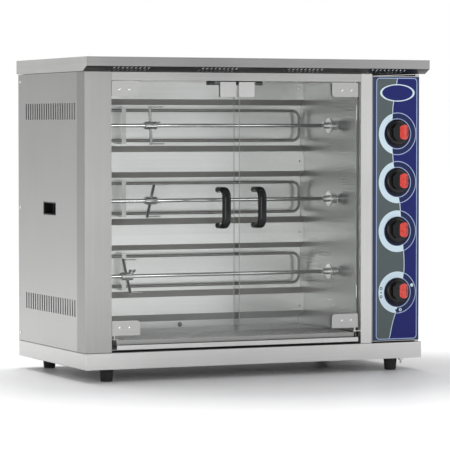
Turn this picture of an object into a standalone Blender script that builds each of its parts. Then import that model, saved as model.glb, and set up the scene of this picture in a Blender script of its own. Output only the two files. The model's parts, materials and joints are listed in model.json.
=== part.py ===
"""Electric rotisserie oven: a sheet-steel casing with two glass doors and three driven spits.

Units are metres and +Z is up. The pieces are laid out from the plinth's front face, at depth 0,
and an empty named oven_frame carries them all to the middle of the object's own frame.
"""

import math

import bmesh
import bpy
from mathutils import Matrix, Vector

# Overall sizes
BODY_W = 1.000  # plinth, side to side
BODY_D = 0.5145  # plinth, front to back
CASE_H = 0.7402  # casing, plinth to roof

# Sheet steel and fits
SHEET = 0.0015
LINER = 0.0012  # chamber walls
GAP = 0.0003  # between pieces that touch
CLEAR = 0.0004  # round a piece that slides or turns in a bore
REACH = 0.010  # how far a cut passes through its sheet

# Plinth and feet
PLINTH_H = 0.0445
PLINTH_RIM = 0.100  # flange turned in under the plinth
FOOT_H = 0.034
FOOT_TOP_R = 0.019
FOOT_BASE_R = 0.016
FOOT_INSET = (0.076, 0.0405)
STUD_R = 0.004

# Roof
ROOF_H = 0.0376
ROOF_SIDE = 0.007  # overhang past the plinth at each side
ROOF_FRONT = 0.032  # overhang past the front face
ROOF_SLOPE = (0.027, 0.0131)  # run and rise of the underside behind the fascia
ROOF_SEAT = 0.0011
ROOF_RIM = 0.012
ROOF_SHORT = 0.006  # the roof stops this far from the back

# Front frame
STILE_W = 0.0754
STILE_RETURN = 0.058  # down the side of the casing
RIGHT_STILE_W = 0.0335
FRAME_LIP = 0.020  # depth of every fold behind the front face
RAIL_H = 0.0214
RIGHT_INSET = 0.008  # casing to plinth edge at the control side
FASCIA_W = 0.1452
FASCIA_LIP = 0.012
FASCIA_EDGE = 0.0008
FASCIA_FOOT = 0.0037  # shadow line above the plinth
FASCIA_HEAD = 0.0053
FILM = 0.0005  # printed overlay
FILM_EDGE = 0.0018

# Vents, hand-holds and roof perforations
VENT_COUNT = 22
VENT_SPAN = (0.071, 0.453)  # depth of the first and the last slot
VENT_SLOT = (0.0075, 0.044)  # width and height
VENT_LEVELS = (0.115, 0.637)  # slot centres above the plinth
HAND_HOLE = (0.0964, 0.035)
HAND_PLACE = (0.2658, 0.3747)  # depth, and height above the plinth
PERF_GROUPS = 4
PERF_PITCH = 0.0123
PERF_COUNT = 9
PERF_HOLE = (0.0036, 0.0085)
PERF_ROWS = (-0.0066, 0.0066)
PERF_LEAN = math.radians(28)
REAR_VENTS = 12
REAR_SLOT = (0.050, 0.007)
REAR_VENT_DROP = 0.060

# Chamber
CHAMBER_SIDE = 0.0074  # liner behind the opening's left edge
CHAMBER_DRIVE_SIDE = 0.0045
CHAMBER_D = 0.350
RECESS_D = 0.025  # reflector channels in the back wall
RECESS_RUN = 0.016
RECESS_FLAT = 0.056  # plain wall between two channels
FOOT_SLOPE = (0.040, 0.022)  # run and rise of the back wall's slope over the tray
FOOT_SLOPE_TOP = 0.0705  # above the plinth
LINER_PAST = 0.046  # side walls and ceiling past the back wall
CEILING_RISE = 0.0024  # over the top rail's lower fold
RUNNER_W = 0.040
LINER_OFF = 0.002  # liner behind the front frame's folds

# Spits and drive
SPIT_DEPTH = 0.137
SPIT_FOOT = 0.1932  # lowest axis above the plinth
SPIT_HEAD = 0.1220  # highest axis below the ceiling
SPIT_COUNT = 3
SPIT_R = 0.005
SPIT_CHAMFER = 0.004
SPIT_TAIL = 0.020  # rod end to the chamber's left wall
REST_OFFSET = 0.027  # notched plate to the left wall
REST_T = 0.002
REST_FRONT = 0.019  # plate ahead of the spits' axis
REST_BACK = 0.023
REST_FOOT = 0.020
REST_END = 0.030
REST_FLARE = 0.012
HUB_NOSE = 0.045  # socket mouth to the drive-side wall
SOCKET_DEPTH = 0.018
SPIT_ENTRY = 0.015
HUB_DISC_R = 0.0215
HUB_DISC_T = 0.003
HUB_FIN_R = 0.014
HUB_FIN_T = 0.003
HUB_FIN_PITCH = 0.006
HUB_NECK_R = 0.0065
HUB_NOSE_R = 0.009
SHAFT_R = 0.005
FORK_PLACES = (0.175, 0.175, 0.105)  # upper, middle, lower: from the left wall
FORK_TURNS = (-6, 29, -31)
FORK_BAR = (0.008, 0.004, 0.118)
FORK_COLLAR = (0.011, 0.034)
PRONG_R = 0.0018
PRONG_L = 0.040
PRONG_SPREAD = 0.050
SCREW_TURN = 75
SCREW_SHIFT = 0.010
SCREW_R = 0.0025
WING_H = 0.016
WING_W = 0.020
WING_T = 0.003
SPROCKET_TEETH = 10
SPROCKET_R = 0.0228
SPROCKET_T = 0.004
SPROCKET_OFFSET = 0.017  # from the drive-side wall to the sprockets' middle
CHAIN_T = 0.0045
CHAIN_W = 0.006
MOTOR_RISE = 0.0712  # motor shaft above the plinth
GEARBOX = (0.045, 0.060, 0.090)
MOTOR_R = 0.033
MOTOR_L = 0.075
MOTOR_GAP = 0.014  # sprocket to gearbox
MOTOR_FOOT = 0.012  # past the gearbox at each side
MOTOR_INSET = 0.005
SHAFT_ENTRY = 0.012

# Heaters
HEATER_R = 0.004
HEATER_BEHIND = 0.002  # legs' axes behind the wall's plain bands
HEATER_INSET = 0.0315  # leg to the channel's edge
HEATER_END = 0.015  # bend to the drive-side wall
HEATER_TAIL = 0.024
BRACKET_W = 0.013
BRACKET_PLACE = 0.1755
BRACKET_OVER = 0.010

# Doors
GLASS_T = 0.005
GLASS_DEPTH = 0.008
DOOR_FOOT = 0.0472  # glass above the plinth
DOOR_HEAD = 0.0056  # glass below the top rail
DOOR_EDGE = (0.0026, 0.0065)  # glass to the left and right frame edge
DOOR_GAP = 0.015
PIVOT_IN = 0.008
PIVOT_R = 0.004
CLAMP = (0.080, 0.036)
CLAMP_WALL = 0.0037
CLAMP_WEB = 0.003
CLAMP_ROUND = 0.010
STRIKE = (0.046, 0.038)
STRIKE_WALL = 0.003
LUG_RISE = 0.0342  # lower pivot lug above the plinth
PIN_PAST = 0.0020  # pin past its hole
LUG_T = 0.0020
LUG_REACH = 0.021
CATCH = (0.160, 0.016, 0.011)
CATCH_OFF = 0.0006  # behind the closed strike plates
HANDLE_SPAN = 0.096
HANDLE_MIDDLE = 0.3792  # above the plinth
HANDLE_REACH = 0.056
HANDLE_R = 0.008
HANDLE_FLAT = 0.004  # half the straight part of its section
HANDLE_BEND = 0.020
HANDLE_IN = 0.045  # root to the door's free edge

# Tray
TRAY_FOOT = 0.0057
TRAY_H = 0.0125
TRAY_INSET = (0.023, 0.002)
TRAY_FRONT = 0.002
TRAY_BACK_GAP = 0.014  # to the back wall's foot
GRID_INSET = 0.005
GRID_FRONT = 0.016
GRID_TOP = 0.0307  # above the plinth
GRID_SLOTS = (12, 2)
GRID_SLOT_W = 0.010
GRID_BAR = 0.0265  # between the ends of two slots

# Controls
KNOB_R = 0.035
KNOB_SKIRT = 0.007
KNOB_GRIP = (0.043, 0.048, 0.013)
KNOB_CORNER = (0.010, 0.013)
KNOB_OFF = 0.0012
KNOB_SHARES = (0.789, 0.606, 0.421, 0.190)
KNOB_FROM_RIGHT = 0.0687
SPINDLE_R = 0.004
SPINDLE_L = 0.016
SPINDLE_HOLE_R = 0.006
REGULATOR = (0.046, 0.036, 0.046)
REGULATOR_DEPTH = 0.0125
STRAP_OVER = 0.003

# Supply
GLAND_OUT = 0.020
GLAND_R = 0.014
GLAND_BORE_R = 0.006
GLAND_THREAD_R = 0.010
GLAND_NUT_H = 0.008
GLAND_PLACE = (0.072, 0.051)  # from the casing's right side, and above the plinth
BLOCK = (0.060, 0.028, 0.030)
BLOCK_OFF = 0.035  # from the rear panel
BLOCK_BORE_R = 0.004
BLOCK_BORE_H = 0.018  # above the block's foot

# Levels and edges that follow from the sizes above
DECK = FOOT_H + GAP + PLINTH_H
CASE_FOOT = DECK + GAP
CASE_HEAD = CASE_FOOT + CASE_H
ROOF_FOOT = CASE_HEAD + ROOF_SEAT
ROOF_HEAD = ROOF_FOOT + ROOF_H
RAIL_FOOT = CASE_HEAD - GAP - RAIL_H
CEILING = RAIL_FOOT + CEILING_RISE
LEFT, RIGHT = -BODY_W / 2, BODY_W / 2 - RIGHT_INSET
BACK = BODY_D - 0.001
OPEN_L = LEFT + STILE_W
FASCIA_R = RIGHT - FASCIA_EDGE
FASCIA_L = FASCIA_R - FASCIA_W
OPEN_R = FASCIA_L - 0.001 - RIGHT_STILE_W
WALL_L = OPEN_L - CHAMBER_SIDE
WALL_R = OPEN_R - CHAMBER_DRIVE_SIDE
SPIT_LOW = DECK + SPIT_FOOT
SPIT_PITCH = (CEILING - SPIT_HEAD - SPIT_LOW) / (SPIT_COUNT - 1)
SPIT_AXES = [SPIT_LOW + level * SPIT_PITCH for level in (2, 1, 0)]
CHANNEL_HALF = (SPIT_PITCH - RECESS_FLAT) / 2
CHAMBER_LIP = FRAME_LIP + LINER_OFF
LINER_D = CHAMBER_D + LINER_PAST
HEATER_DEPTH = CHAMBER_D + HEATER_BEHIND
TRAY_BACK = CHAMBER_D + FOOT_SLOPE[0] - TRAY_BACK_GAP
LEVELS = ("upper", "middle", "lower")
GLASS_MIDDLE = GLASS_DEPTH + GLASS_T / 2
GLASS_FOOT = DECK + DOOR_FOOT
GLASS_HEAD = RAIL_FOOT - DOOR_HEAD
DOOR_EDGES = (OPEN_L + DOOR_EDGE[0], OPEN_R - DOOR_EDGE[1])
PIVOTS = (DOOR_EDGES[0] + PIVOT_IN, DOOR_EDGES[1] - PIVOT_IN)
DOOR_MIDDLE = (DOOR_EDGES[0] + DOOR_EDGES[1]) / 2
FASCIA_ENDS = (CASE_FOOT + FASCIA_FOOT, CASE_HEAD - FASCIA_HEAD)
KNOB_X = RIGHT - KNOB_FROM_RIGHT
KNOB_AXES = [FASCIA_ENDS[0] + share * (FASCIA_ENDS[1] - FASCIA_ENDS[0]) for share in KNOB_SHARES]
SPROCKET_X = WALL_R + SPROCKET_OFFSET
GLAND_AXIS = (RIGHT - GLAND_PLACE[0], DECK + GLAND_PLACE[1])
FRONT_REACH = HANDLE_REACH - GLASS_DEPTH
FRONT_Y = (FRONT_REACH - BODY_D - GLAND_OUT) / 2

QUARTER = math.pi / 2
TURNS = {"x": (0, QUARTER, 0), "front": (QUARTER, 0, 0), "back": (-QUARTER, 0, 0), "z": (0, 0, 0)}

FINISHES = {
    "steel": ((0.60, 0.60, 0.59), 0.32, 1.0),
    "polished_steel": ((0.70, 0.70, 0.70), 0.14, 1.0),
    "chrome": ((0.80, 0.80, 0.80), 0.08, 1.0),
    "dark_steel": ((0.10, 0.10, 0.10), 0.45, 1.0),
    "black_plastic": ((0.015, 0.015, 0.015), 0.30, 0.0),
    "rubber": ((0.020, 0.020, 0.020), 0.70, 0.0),
    "glass": ((0.75, 0.80, 0.80), 0.04, 0.0),
    "film": ((0.030, 0.050, 0.250), 0.30, 0.0),
    "motor_paint": ((0.060, 0.070, 0.080), 0.50, 0.0),
    "ceramic": ((0.80, 0.78, 0.72), 0.55, 0.0),
}


def clear_scene():
    for obj in list(bpy.data.objects):
        bpy.data.objects.remove(obj)


def finish(name):
    """A Principled material of its own for one sub-part, in one of the oven's finishes."""
    colour, roughness, metallic = FINISHES[name]
    material = bpy.data.materials.new(name)
    material.use_nodes = True
    shader = material.node_tree.nodes["Principled BSDF"]
    shader.inputs["Base Color"].default_value = (*colour, 1)
    shader.inputs["Roughness"].default_value = roughness
    shader.inputs["Metallic"].default_value = metallic
    material.diffuse_color = (*colour, 1)
    return material


def new_collection(name):
    collection = bpy.data.collections.new(name)
    bpy.context.scene.collection.children.link(collection)
    return collection


def add_object(name, data, collection, origin=(0, 0, 0), turn=(0, 0, 0)):
    obj = bpy.data.objects.new(name, data)
    obj.location, obj.rotation_euler = origin, turn
    obj.parent = oven_frame
    collection.objects.link(obj)
    return obj


def mesh_of(name, bm):
    mesh = bpy.data.meshes.new(name)
    bm.to_mesh(mesh)
    bm.free()
    return mesh


def piece(name, bm, look, origin=(0, 0, 0), turn=(0, 0, 0)):
    """A sub-part. Its mesh is drawn about its own origin, which is its joint's axis if it moves."""
    obj = add_object(name, mesh_of(name, bm), parts, origin, turn)
    obj.data.materials.append(finish(look))
    obj.data.shade_smooth()
    obj.data.set_sharp_from_angle(angle=math.radians(40))
    return obj


def combine(obj, operation, bm, origin=(0, 0, 0), turn=(0, 0, 0)):
    """Joins a helper shape to a sub-part, or cuts it away."""
    helper = add_object(f"{obj.name}_{operation.lower()}", mesh_of(obj.name, bm), cutters, origin, turn)
    helper.hide_render, helper.display_type = True, "WIRE"
    modifier = obj.modifiers.new(operation.title(), "BOOLEAN")
    modifier.operation, modifier.object = operation, helper


def boxes(*corners):
    """Boxes in one mesh, each from its lowest to its highest corner."""
    bm = bmesh.new()
    for low, high in corners:
        low, high = Vector(low), Vector(high)
        place = Matrix.Translation((low + high) / 2) @ Matrix.Diagonal((*(high - low), 1))
        bmesh.ops.create_cube(bm, size=1, matrix=place)
    return bm


def rods(*runs, segments=12):
    """Cylinders in one mesh: each a start, an end, a radius, and a tip radius if it tapers."""
    bm = bmesh.new()
    for start, end, radius, *tip in runs:
        along = Vector(end) - Vector(start)
        turn = along.to_track_quat("Z", "Y").to_matrix().to_4x4()
        place = Matrix.Translation(Vector(start) + along / 2) @ turn
        bmesh.ops.create_cone(
            bm, cap_ends=True, segments=segments, radius1=radius,
            radius2=tip[0] if tip else radius, depth=along.length, matrix=place,
        )
    return bm


def joined(*meshes):
    """Several bmeshes in one."""
    whole = bmesh.new()
    for bm in meshes:
        whole.from_mesh(mesh_of("join", bm))
    return whole


def in_space(axis, at, point):
    """A point of a profile drawn across an axis: (y, z) across x, (x, z) across y, (x, y) across z."""
    place = list(point)
    place.insert("xyz".index(axis), at)
    return Vector(place)


def sweep(bm, result, axis, length):
    """Moves what an extrusion made along its axis."""
    moved = [item for item in result["geom"] if isinstance(item, bmesh.types.BMVert)]
    along = in_space(axis, length, (0, 0))
    bmesh.ops.translate(bm, verts=moved, vec=along)


def prism(outline, axis, start, end):
    """A closed outline drawn across an axis and run along it."""
    bm = bmesh.new()
    face = bm.faces.new([bm.verts.new(in_space(axis, start, point)) for point in outline])
    sweep(bm, bmesh.ops.extrude_face_region(bm, geom=[face]), axis, end - start)
    bmesh.ops.recalc_face_normals(bm, faces=bm.faces)
    return bm


def thicken(obj, thickness, offset=-1):
    solid = obj.modifiers.new("Solidify", "SOLIDIFY")
    solid.thickness, solid.offset, solid.use_even_offset = thickness, offset, True
    return obj


def folded(name, profile, axis, start, end, look="steel", thickness=SHEET):
    """A bent sheet: a profile run along an axis, with its wall on the profile's left."""
    bm = bmesh.new()
    points = [bm.verts.new(in_space(axis, start, point)) for point in profile]
    edges = [bm.edges.new(pair) for pair in zip(points, points[1:])]
    sweep(bm, bmesh.ops.extrude_edge_only(bm, edges=edges), axis, end - start)
    return thicken(piece(name, bm, look), thickness, -1 if axis == "y" else 1)


def pan(name, bm, open_way, look="steel", rim=0, thickness=SHEET):
    """A folded box open on one side, where it keeps a rim if that is given."""
    side = max(bm.faces, key=lambda face: face.normal.dot(Vector(open_way)) * face.calc_area())
    if rim:
        bmesh.ops.inset_region(bm, faces=[side], thickness=rim, use_even_offset=True)
    bmesh.ops.delete(bm, geom=[side], context="FACES")
    return thicken(piece(name, bm, look), thickness)


def turned(name, profile, look, origin, way, steps=16):
    """A turned piece: (radius, height) points down its outer side. Its top faces the way given."""
    bm = bmesh.new()
    points = [bm.verts.new((radius, 0, height)) for radius, height in profile]
    for pair in zip(points, points[1:]):
        bm.edges.new(pair)
    obj = piece(name, bm, look, origin, TURNS[way])
    screw = obj.modifiers.new("Screw", "SCREW")
    screw.steps = screw.render_steps = steps
    screw.use_merge_vertices, screw.merge_threshold = True, 1e-5
    return obj


def toothed(depth, height):
    """A sprocket about a shaft's axis, in the plane of the chain."""
    outline = []
    for tooth in range(SPROCKET_TEETH):
        for share, radius in ((-0.30, 0.82), (-0.12, 1.0), (0.12, 1.0), (0.30, 0.82)):
            turn = math.tau * (tooth + share) / SPROCKET_TEETH
            reach = SPROCKET_R * radius
            outline.append((depth + reach * math.cos(turn), height + reach * math.sin(turn)))
    return prism(outline, "x", SPROCKET_X - SPROCKET_T / 2, SPROCKET_X + SPROCKET_T / 2)


def arc(centre, radius, start, end, steps):
    """Points on an arc in degrees, both ends included."""
    for step in range(steps + 1):
        turn = math.radians(start + (end - start) * step / steps)
        yield centre[0] + radius * math.cos(turn), centre[1] + radius * math.sin(turn)


def tube(name, points, radius, look, half_flat=0):
    """A bent rod: a curve through points with filled ends."""
    curve = bpy.data.curves.new(name, "CURVE")
    curve.dimensions, curve.bevel_depth, curve.bevel_resolution = "3D", radius, 2
    curve.extrude, curve.use_fill_caps = half_flat, True
    spline = curve.splines.new("POLY")
    spline.points.add(len(points) - 1)
    for place, point in zip(spline.points, points):
        place.co, place.tilt = (*point, 1), QUARTER
    curve.materials.append(finish(look))
    return add_object(name, curve, parts)


def make_plinth():
    foot = FOOT_H + GAP
    pan_box = boxes(((LEFT, 0, foot), (BODY_W / 2, BODY_D, DECK)))
    plinth = pan("base_plinth", pan_box, (0, 0, -1), rim=PLINTH_RIM)
    across, along = BODY_W / 2 - FOOT_INSET[0], FOOT_INSET[1]
    places = {
        "front_left": (-across, along), "front_right": (across, along),
        "rear_left": (-across, BODY_D - along), "rear_right": (across, BODY_D - along),
    }
    holes = [((x, y, foot - REACH), (x, y, foot + REACH), STUD_R + CLEAR) for x, y in places.values()]
    combine(plinth, "DIFFERENCE", rods(*holes))
    head = foot + 2 * STUD_R
    profile = [
        (0, head), (STUD_R, head), (STUD_R, FOOT_H), (FOOT_TOP_R, FOOT_H), (FOOT_TOP_R, FOOT_H - STUD_R),
        (FOOT_BASE_R, SHEET), (FOOT_BASE_R - SHEET, 0), (0, 0),
    ]
    for name, (x, y) in places.items():
        turned(f"foot_{name}", profile, "rubber", (x, y, 0), "z", 12)


def side_openings(x):
    """Cutters for a side panel: two rows of upright slots and the hand-hold."""
    first, last = VENT_SPAN
    slot_w, slot_h = VENT_SLOT
    cuts = []
    for level in VENT_LEVELS:
        for number in range(VENT_COUNT):
            depth = first + (last - first - slot_w) * number / (VENT_COUNT - 1)
            foot = DECK + level - slot_h / 2
            cuts.append(((x - REACH, depth, foot), (x + REACH, depth + slot_w, foot + slot_h)))
    depth, height = HAND_PLACE[0], DECK + HAND_PLACE[1]
    half_w, half_h = HAND_HOLE[0] / 2, HAND_HOLE[1] / 2
    low = (x - REACH, depth - half_w, height - half_h)
    cuts.append((low, (x + REACH, depth + half_w, height + half_h)))
    return boxes(*cuts)


def make_casing():
    inner = SHEET + GAP
    profile = [(LEFT, BACK), (LEFT, STILE_RETURN + GAP)]
    left = folded("left_side_panel", profile, "z", CASE_FOOT, CASE_HEAD)
    combine(left, "DIFFERENCE", side_openings(LEFT))
    profile = [(RIGHT - FASCIA_LIP, inner), (RIGHT, inner), (RIGHT, BACK)]
    right = folded("right_side_panel", profile, "z", CASE_FOOT, CASE_HEAD)
    combine(right, "DIFFERENCE", side_openings(RIGHT))

    start, end = LEFT + inner, RIGHT - inner
    rear = folded("rear_panel", [(end, BACK), (start, BACK)], "z", CASE_FOOT, CASE_HEAD)
    pitch = (end - start) / (REAR_VENTS + 1)
    foot = CASE_HEAD - REAR_VENT_DROP
    slots = []
    for number in range(REAR_VENTS):
        x = start + pitch * (number + 1) - REAR_SLOT[0] / 2
        slots.append(((x, BACK - REACH, foot), (x + REAR_SLOT[0], BACK + REACH, foot + REAR_SLOT[1])))
    x, z = GLAND_AXIS
    gland = rods(((x, BACK - REACH, z), (x, BACK + REACH, z), GLAND_THREAD_R + CLEAR))
    combine(rear, "DIFFERENCE", joined(boxes(*slots), gland))


def make_roof():
    run, rise = ROOF_SLOPE
    side, front, back = BODY_W / 2 + ROOF_SIDE, -ROOF_FRONT, BODY_D - ROOF_SHORT
    outline = [
        (front, ROOF_HEAD), (front, ROOF_FOOT + rise), (front + run, ROOF_FOOT),
        (back, ROOF_FOOT), (back, ROOF_HEAD),
    ]
    roof = pan("roof_canopy", prism(outline, "x", -side, side), (0, 0, -1), rim=ROOF_RIM)
    slope = Matrix.Rotation(-math.atan2(rise, run), 4, "X")
    lean = Matrix.Rotation(PERF_LEAN, 4, "Z") @ Matrix.Diagonal((*PERF_HOLE, REACH, 1))
    holes = bmesh.new()
    for group in range(PERF_GROUPS):
        middle = side * ((2 * group + 1) / PERF_GROUPS - 1)
        for number in range(PERF_COUNT):
            for row in PERF_ROWS:
                x = middle + PERF_PITCH * (number - (PERF_COUNT - 1) / 2) - row * math.tan(PERF_LEAN)
                centre = Matrix.Translation((x, front + run / 2, ROOF_FOOT + rise / 2))
                place = centre @ slope @ Matrix.Translation((0, row, 0)) @ lean
                bmesh.ops.create_cube(holes, size=1, matrix=place)
    combine(roof, "DIFFERENCE", holes)


def add_lug(stile, edge, pivot, inward):
    """The ear at a stile's foot that carries the door's lower pivot."""
    foot = DECK + LUG_RISE
    near, far = sorted((edge - inward * SHEET / 2, edge + inward * LUG_REACH))
    combine(stile, "UNION", boxes(((near, 2 * SHEET, foot), (far, FRAME_LIP - GAP, foot + LUG_T))))
    hole = ((pivot, GLASS_MIDDLE, foot - REACH), (pivot, GLASS_MIDDLE, foot + REACH), PIVOT_R + CLEAR)
    combine(stile, "DIFFERENCE", rods(hole))


def make_front_frame():
    profile = [(LEFT, STILE_RETURN), (LEFT, 0), (OPEN_L, 0), (OPEN_L, FRAME_LIP)]
    add_lug(folded("left_front_stile", profile, "z", CASE_FOOT, CASE_HEAD), OPEN_L, PIVOTS[0], 1)
    far = OPEN_R + RIGHT_STILE_W
    profile = [(OPEN_R, FRAME_LIP), (OPEN_R, 0), (far, 0), (far, FRAME_LIP)]
    add_lug(folded("right_front_stile", profile, "z", CASE_FOOT, CASE_HEAD), OPEN_R, PIVOTS[1], -1)

    head = RAIL_FOOT + RAIL_H
    profile = [(FRAME_LIP, head), (0, head), (0, RAIL_FOOT), (FRAME_LIP, RAIL_FOOT)]
    rail = folded("top_front_rail", profile, "x", OPEN_L + GAP, OPEN_R - GAP)
    ends = [[(x, GLASS_MIDDLE, RAIL_FOOT + side * REACH) for side in (-1, 1)] for x in PIVOTS]
    combine(rail, "DIFFERENCE", rods(*((*pair, PIVOT_R + CLEAR) for pair in ends)))

    foot, head = FASCIA_ENDS
    profile = [(FASCIA_L, FASCIA_LIP), (FASCIA_L, 0), (FASCIA_R, 0)]
    fascia = folded("control_fascia", profile, "z", foot, head)
    low = (FASCIA_L + FILM_EDGE, -GAP - FILM, foot + FILM_EDGE)
    overlay = piece("control_overlay", boxes((low, (FASCIA_R, -GAP, head - FILM_EDGE))), "film")
    holes = [((KNOB_X, -REACH, z), (KNOB_X, REACH, z), SPINDLE_HOLE_R) for z in KNOB_AXES]
    for plate in (fascia, overlay):
        combine(plate, "DIFFERENCE", rods(*holes))


def heater_legs(axis):
    """The heights of a heater's two legs beside a spit's axis."""
    return axis - CHANNEL_HALF + HEATER_INSET, axis + CHANNEL_HALF - HEATER_INSET


def make_chamber():
    head, seat = CEILING - GAP, DECK + TRAY_FOOT - GAP
    deep, flat = CHAMBER_D + RECESS_D, CHANNEL_HALF - RECESS_RUN
    profile = [(CHAMBER_D, head)]
    for axis in SPIT_AXES:
        profile += [(CHAMBER_D, axis + CHANNEL_HALF), (deep, axis + flat)]
        profile += [(deep, axis - flat), (CHAMBER_D, axis - CHANNEL_HALF)]
    kink, bottom = DECK + FOOT_SLOPE_TOP, CHAMBER_D + FOOT_SLOPE[0]
    profile += [(CHAMBER_D, kink), (bottom, kink - FOOT_SLOPE[1]), (bottom, seat + GAP)]
    folded("chamber_back_wall", profile, "x", WALL_L + GAP, WALL_R - GAP, "polished_steel", LINER)

    profile = [(WALL_L + RUNNER_W, seat), (WALL_L, seat), (WALL_L, head)]
    wall = folded("chamber_left_wall", profile, "y", CHAMBER_LIP, LINER_D, "polished_steel", LINER)
    legs = [leg for axis in SPIT_AXES for leg in heater_legs(axis)]
    ends = [[(WALL_L + side * REACH, HEATER_DEPTH, leg) for side in (-1, 1)] for leg in legs]
    combine(wall, "DIFFERENCE", rods(*((*pair, HEATER_R + CLEAR) for pair in ends)))

    profile = [(WALL_R, head), (WALL_R, seat), (WALL_R - RUNNER_W, seat)]
    wall = folded("chamber_right_wall", profile, "y", CHAMBER_LIP, LINER_D, "polished_steel", LINER)
    ends = [[(WALL_R + side * REACH, SPIT_DEPTH, axis) for side in (-1, 1)] for axis in SPIT_AXES]
    combine(wall, "DIFFERENCE", rods(*((*pair, SHAFT_R + CLEAR) for pair in ends)))

    profile = [(CHAMBER_LIP, CEILING), (LINER_D, CEILING)]
    folded("chamber_ceiling", profile, "x", WALL_L - LINER, WALL_R + LINER, "polished_steel", LINER)


def make_heaters():
    tail, end = WALL_L - HEATER_TAIL, WALL_R - HEATER_END
    front = HEATER_DEPTH - HEATER_R - GAP - SHEET
    wall = CHAMBER_D + RECESS_D - GAP
    strap = WALL_L + BRACKET_PLACE
    for level, axis in zip(LEVELS, SPIT_AXES):
        low, high = heater_legs(axis)
        bend = (high - low) / 4
        route = [(tail, high), *arc((end - bend, high - bend), bend, 90, 0, 5)]
        route += [*arc((end - bend, low + bend), bend, 0, -90, 5), (tail, low)]
        tube(f"heater_{level}", [(x, HEATER_DEPTH, z) for x, z in route], HEATER_R, "dark_steel")
        foot, head = low - BRACKET_OVER, high + BRACKET_OVER
        profile = [(wall, head), (front, head), (front, foot), (wall, foot)]
        folded(f"heater_bracket_{level}", profile, "x", strap, strap + BRACKET_W)


def make_rest_rail():
    """The notched rail that carries the spits' free ends."""
    plate, back = WALL_L + REST_OFFSET, SPIT_DEPTH + REST_BACK
    seat = WALL_L + GAP + REST_T
    profile = [(plate, SPIT_DEPTH - REST_FRONT), (plate, back), (seat, back), (seat, back + REST_FOOT)]
    foot, head = SPIT_AXES[-1] - REST_END, SPIT_AXES[0] + REST_END
    rail = folded("spit_rest_rail", profile, "z", foot, head, thickness=REST_T)
    mouth, half = SPIT_DEPTH - REST_FRONT - REACH, SPIT_R + CLEAR
    for axis in SPIT_AXES:
        outline = [(mouth, axis + half + REST_FLARE), (SPIT_DEPTH, axis + half)]
        outline += [*arc((SPIT_DEPTH, axis), half, 90, -90, 6)][1:] + [(mouth, axis - half)]
        combine(rail, "DIFFERENCE", prism(outline, "x", plate - REACH, plate + REACH))


def make_hub(level, centre, mouth):
    """A drive head: shaft, three cooling fins, disc and spit socket, with its sprocket."""
    bore, disc = SPIT_R + CLEAR, mouth + SOCKET_DEPTH
    profile = [(0, SPROCKET_X + SPROCKET_T), (SHAFT_R, SPROCKET_X + SPROCKET_T)]
    for fin in (3, 2, 1):
        foot = disc + fin * HUB_FIN_PITCH
        neck = SHAFT_R if fin == 3 else HUB_NECK_R
        profile += [(neck, foot + HUB_FIN_T), (HUB_FIN_R, foot + HUB_FIN_T)]
        profile += [(HUB_FIN_R, foot), (HUB_NECK_R, foot)]
    profile += [
        (HUB_NECK_R, disc + HUB_DISC_T), (HUB_DISC_R, disc + HUB_DISC_T), (HUB_DISC_R, disc),
        (HUB_NOSE_R, disc), (HUB_NOSE_R, mouth), (bore, mouth), (bore, disc - GAP), (0, disc - GAP),
    ]
    hub = turned(f"drive_hub_{level}", profile, "polished_steel", centre, "x")
    combine(hub, "UNION", toothed(*centre[1:]))


def make_fork(level, centre, turn):
    """A cross-bar with two prongs on a sliding collar, and the wing screw that locks it."""
    radius, length = FORK_COLLAR
    lean = math.radians(SCREW_TURN)
    way = Vector((0, -math.sin(lean), math.cos(lean)))
    seat = Vector((SCREW_SHIFT, 0, 0))
    half = Vector(FORK_BAR) / 2
    prongs = [((0, 0, z), (PRONG_L, 0, z), PRONG_R, PRONG_R / 4) for z in (-PRONG_SPREAD, PRONG_SPREAD)]
    place = (centre, (turn, 0, 0))
    collar = rods(((-length / 2, 0, 0), (length / 2, 0, 0), radius))
    fork = piece(f"spit_fork_{level}", collar, "chrome", *place)
    combine(fork, "UNION", boxes((-half, half)), *place)
    combine(fork, "UNION", rods(*prongs, segments=8), *place)
    combine(fork, "DIFFERENCE", rods(((-length, 0, 0), (length, 0, 0), SPIT_R + CLEAR)), *place)
    combine(fork, "DIFFERENCE", rods((seat, seat + 2 * radius * way, SCREW_R + CLEAR)), *place)

    place = (Vector(centre) + seat, (turn + lean, 0, 0))
    foot, tip = radius + CLEAR, radius + WING_H
    shank = rods(((0, 0, SPIT_R + GAP), (0, 0, foot + WING_H / 3), SCREW_R))
    screw = piece(f"fork_screw_{level}", shank, "chrome", *place)
    wing = [(WING_W / 4, foot), (WING_W / 2, tip), (WING_W / 4, tip + GAP), (0, foot + WING_H / 2)]
    wing += [(-WING_W / 4, tip + GAP), (-WING_W / 2, tip), (-WING_W / 4, foot)]
    combine(screw, "UNION", prism(wing, "y", -WING_T / 2, WING_T / 2), *place)


def make_spits():
    mouth = WALL_R - HUB_NOSE
    start, end = WALL_L + SPIT_TAIL, mouth + SPIT_ENTRY
    for level, axis, place, turn in zip(LEVELS, SPIT_AXES, FORK_PLACES, FORK_TURNS):
        centre = (0, SPIT_DEPTH, axis)
        profile = [
            (0, end), (SPIT_R - CLEAR, end), (SPIT_R, end - CLEAR),
            (SPIT_R, start + SPIT_CHAMFER), (SPIT_R / 4, start), (0, start),
        ]
        turned(f"spit_rod_{level}", profile, "chrome", centre, "x")
        make_hub(level, centre, mouth)
        make_fork(level, (WALL_L + place, SPIT_DEPTH, axis), math.radians(turn))


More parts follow.
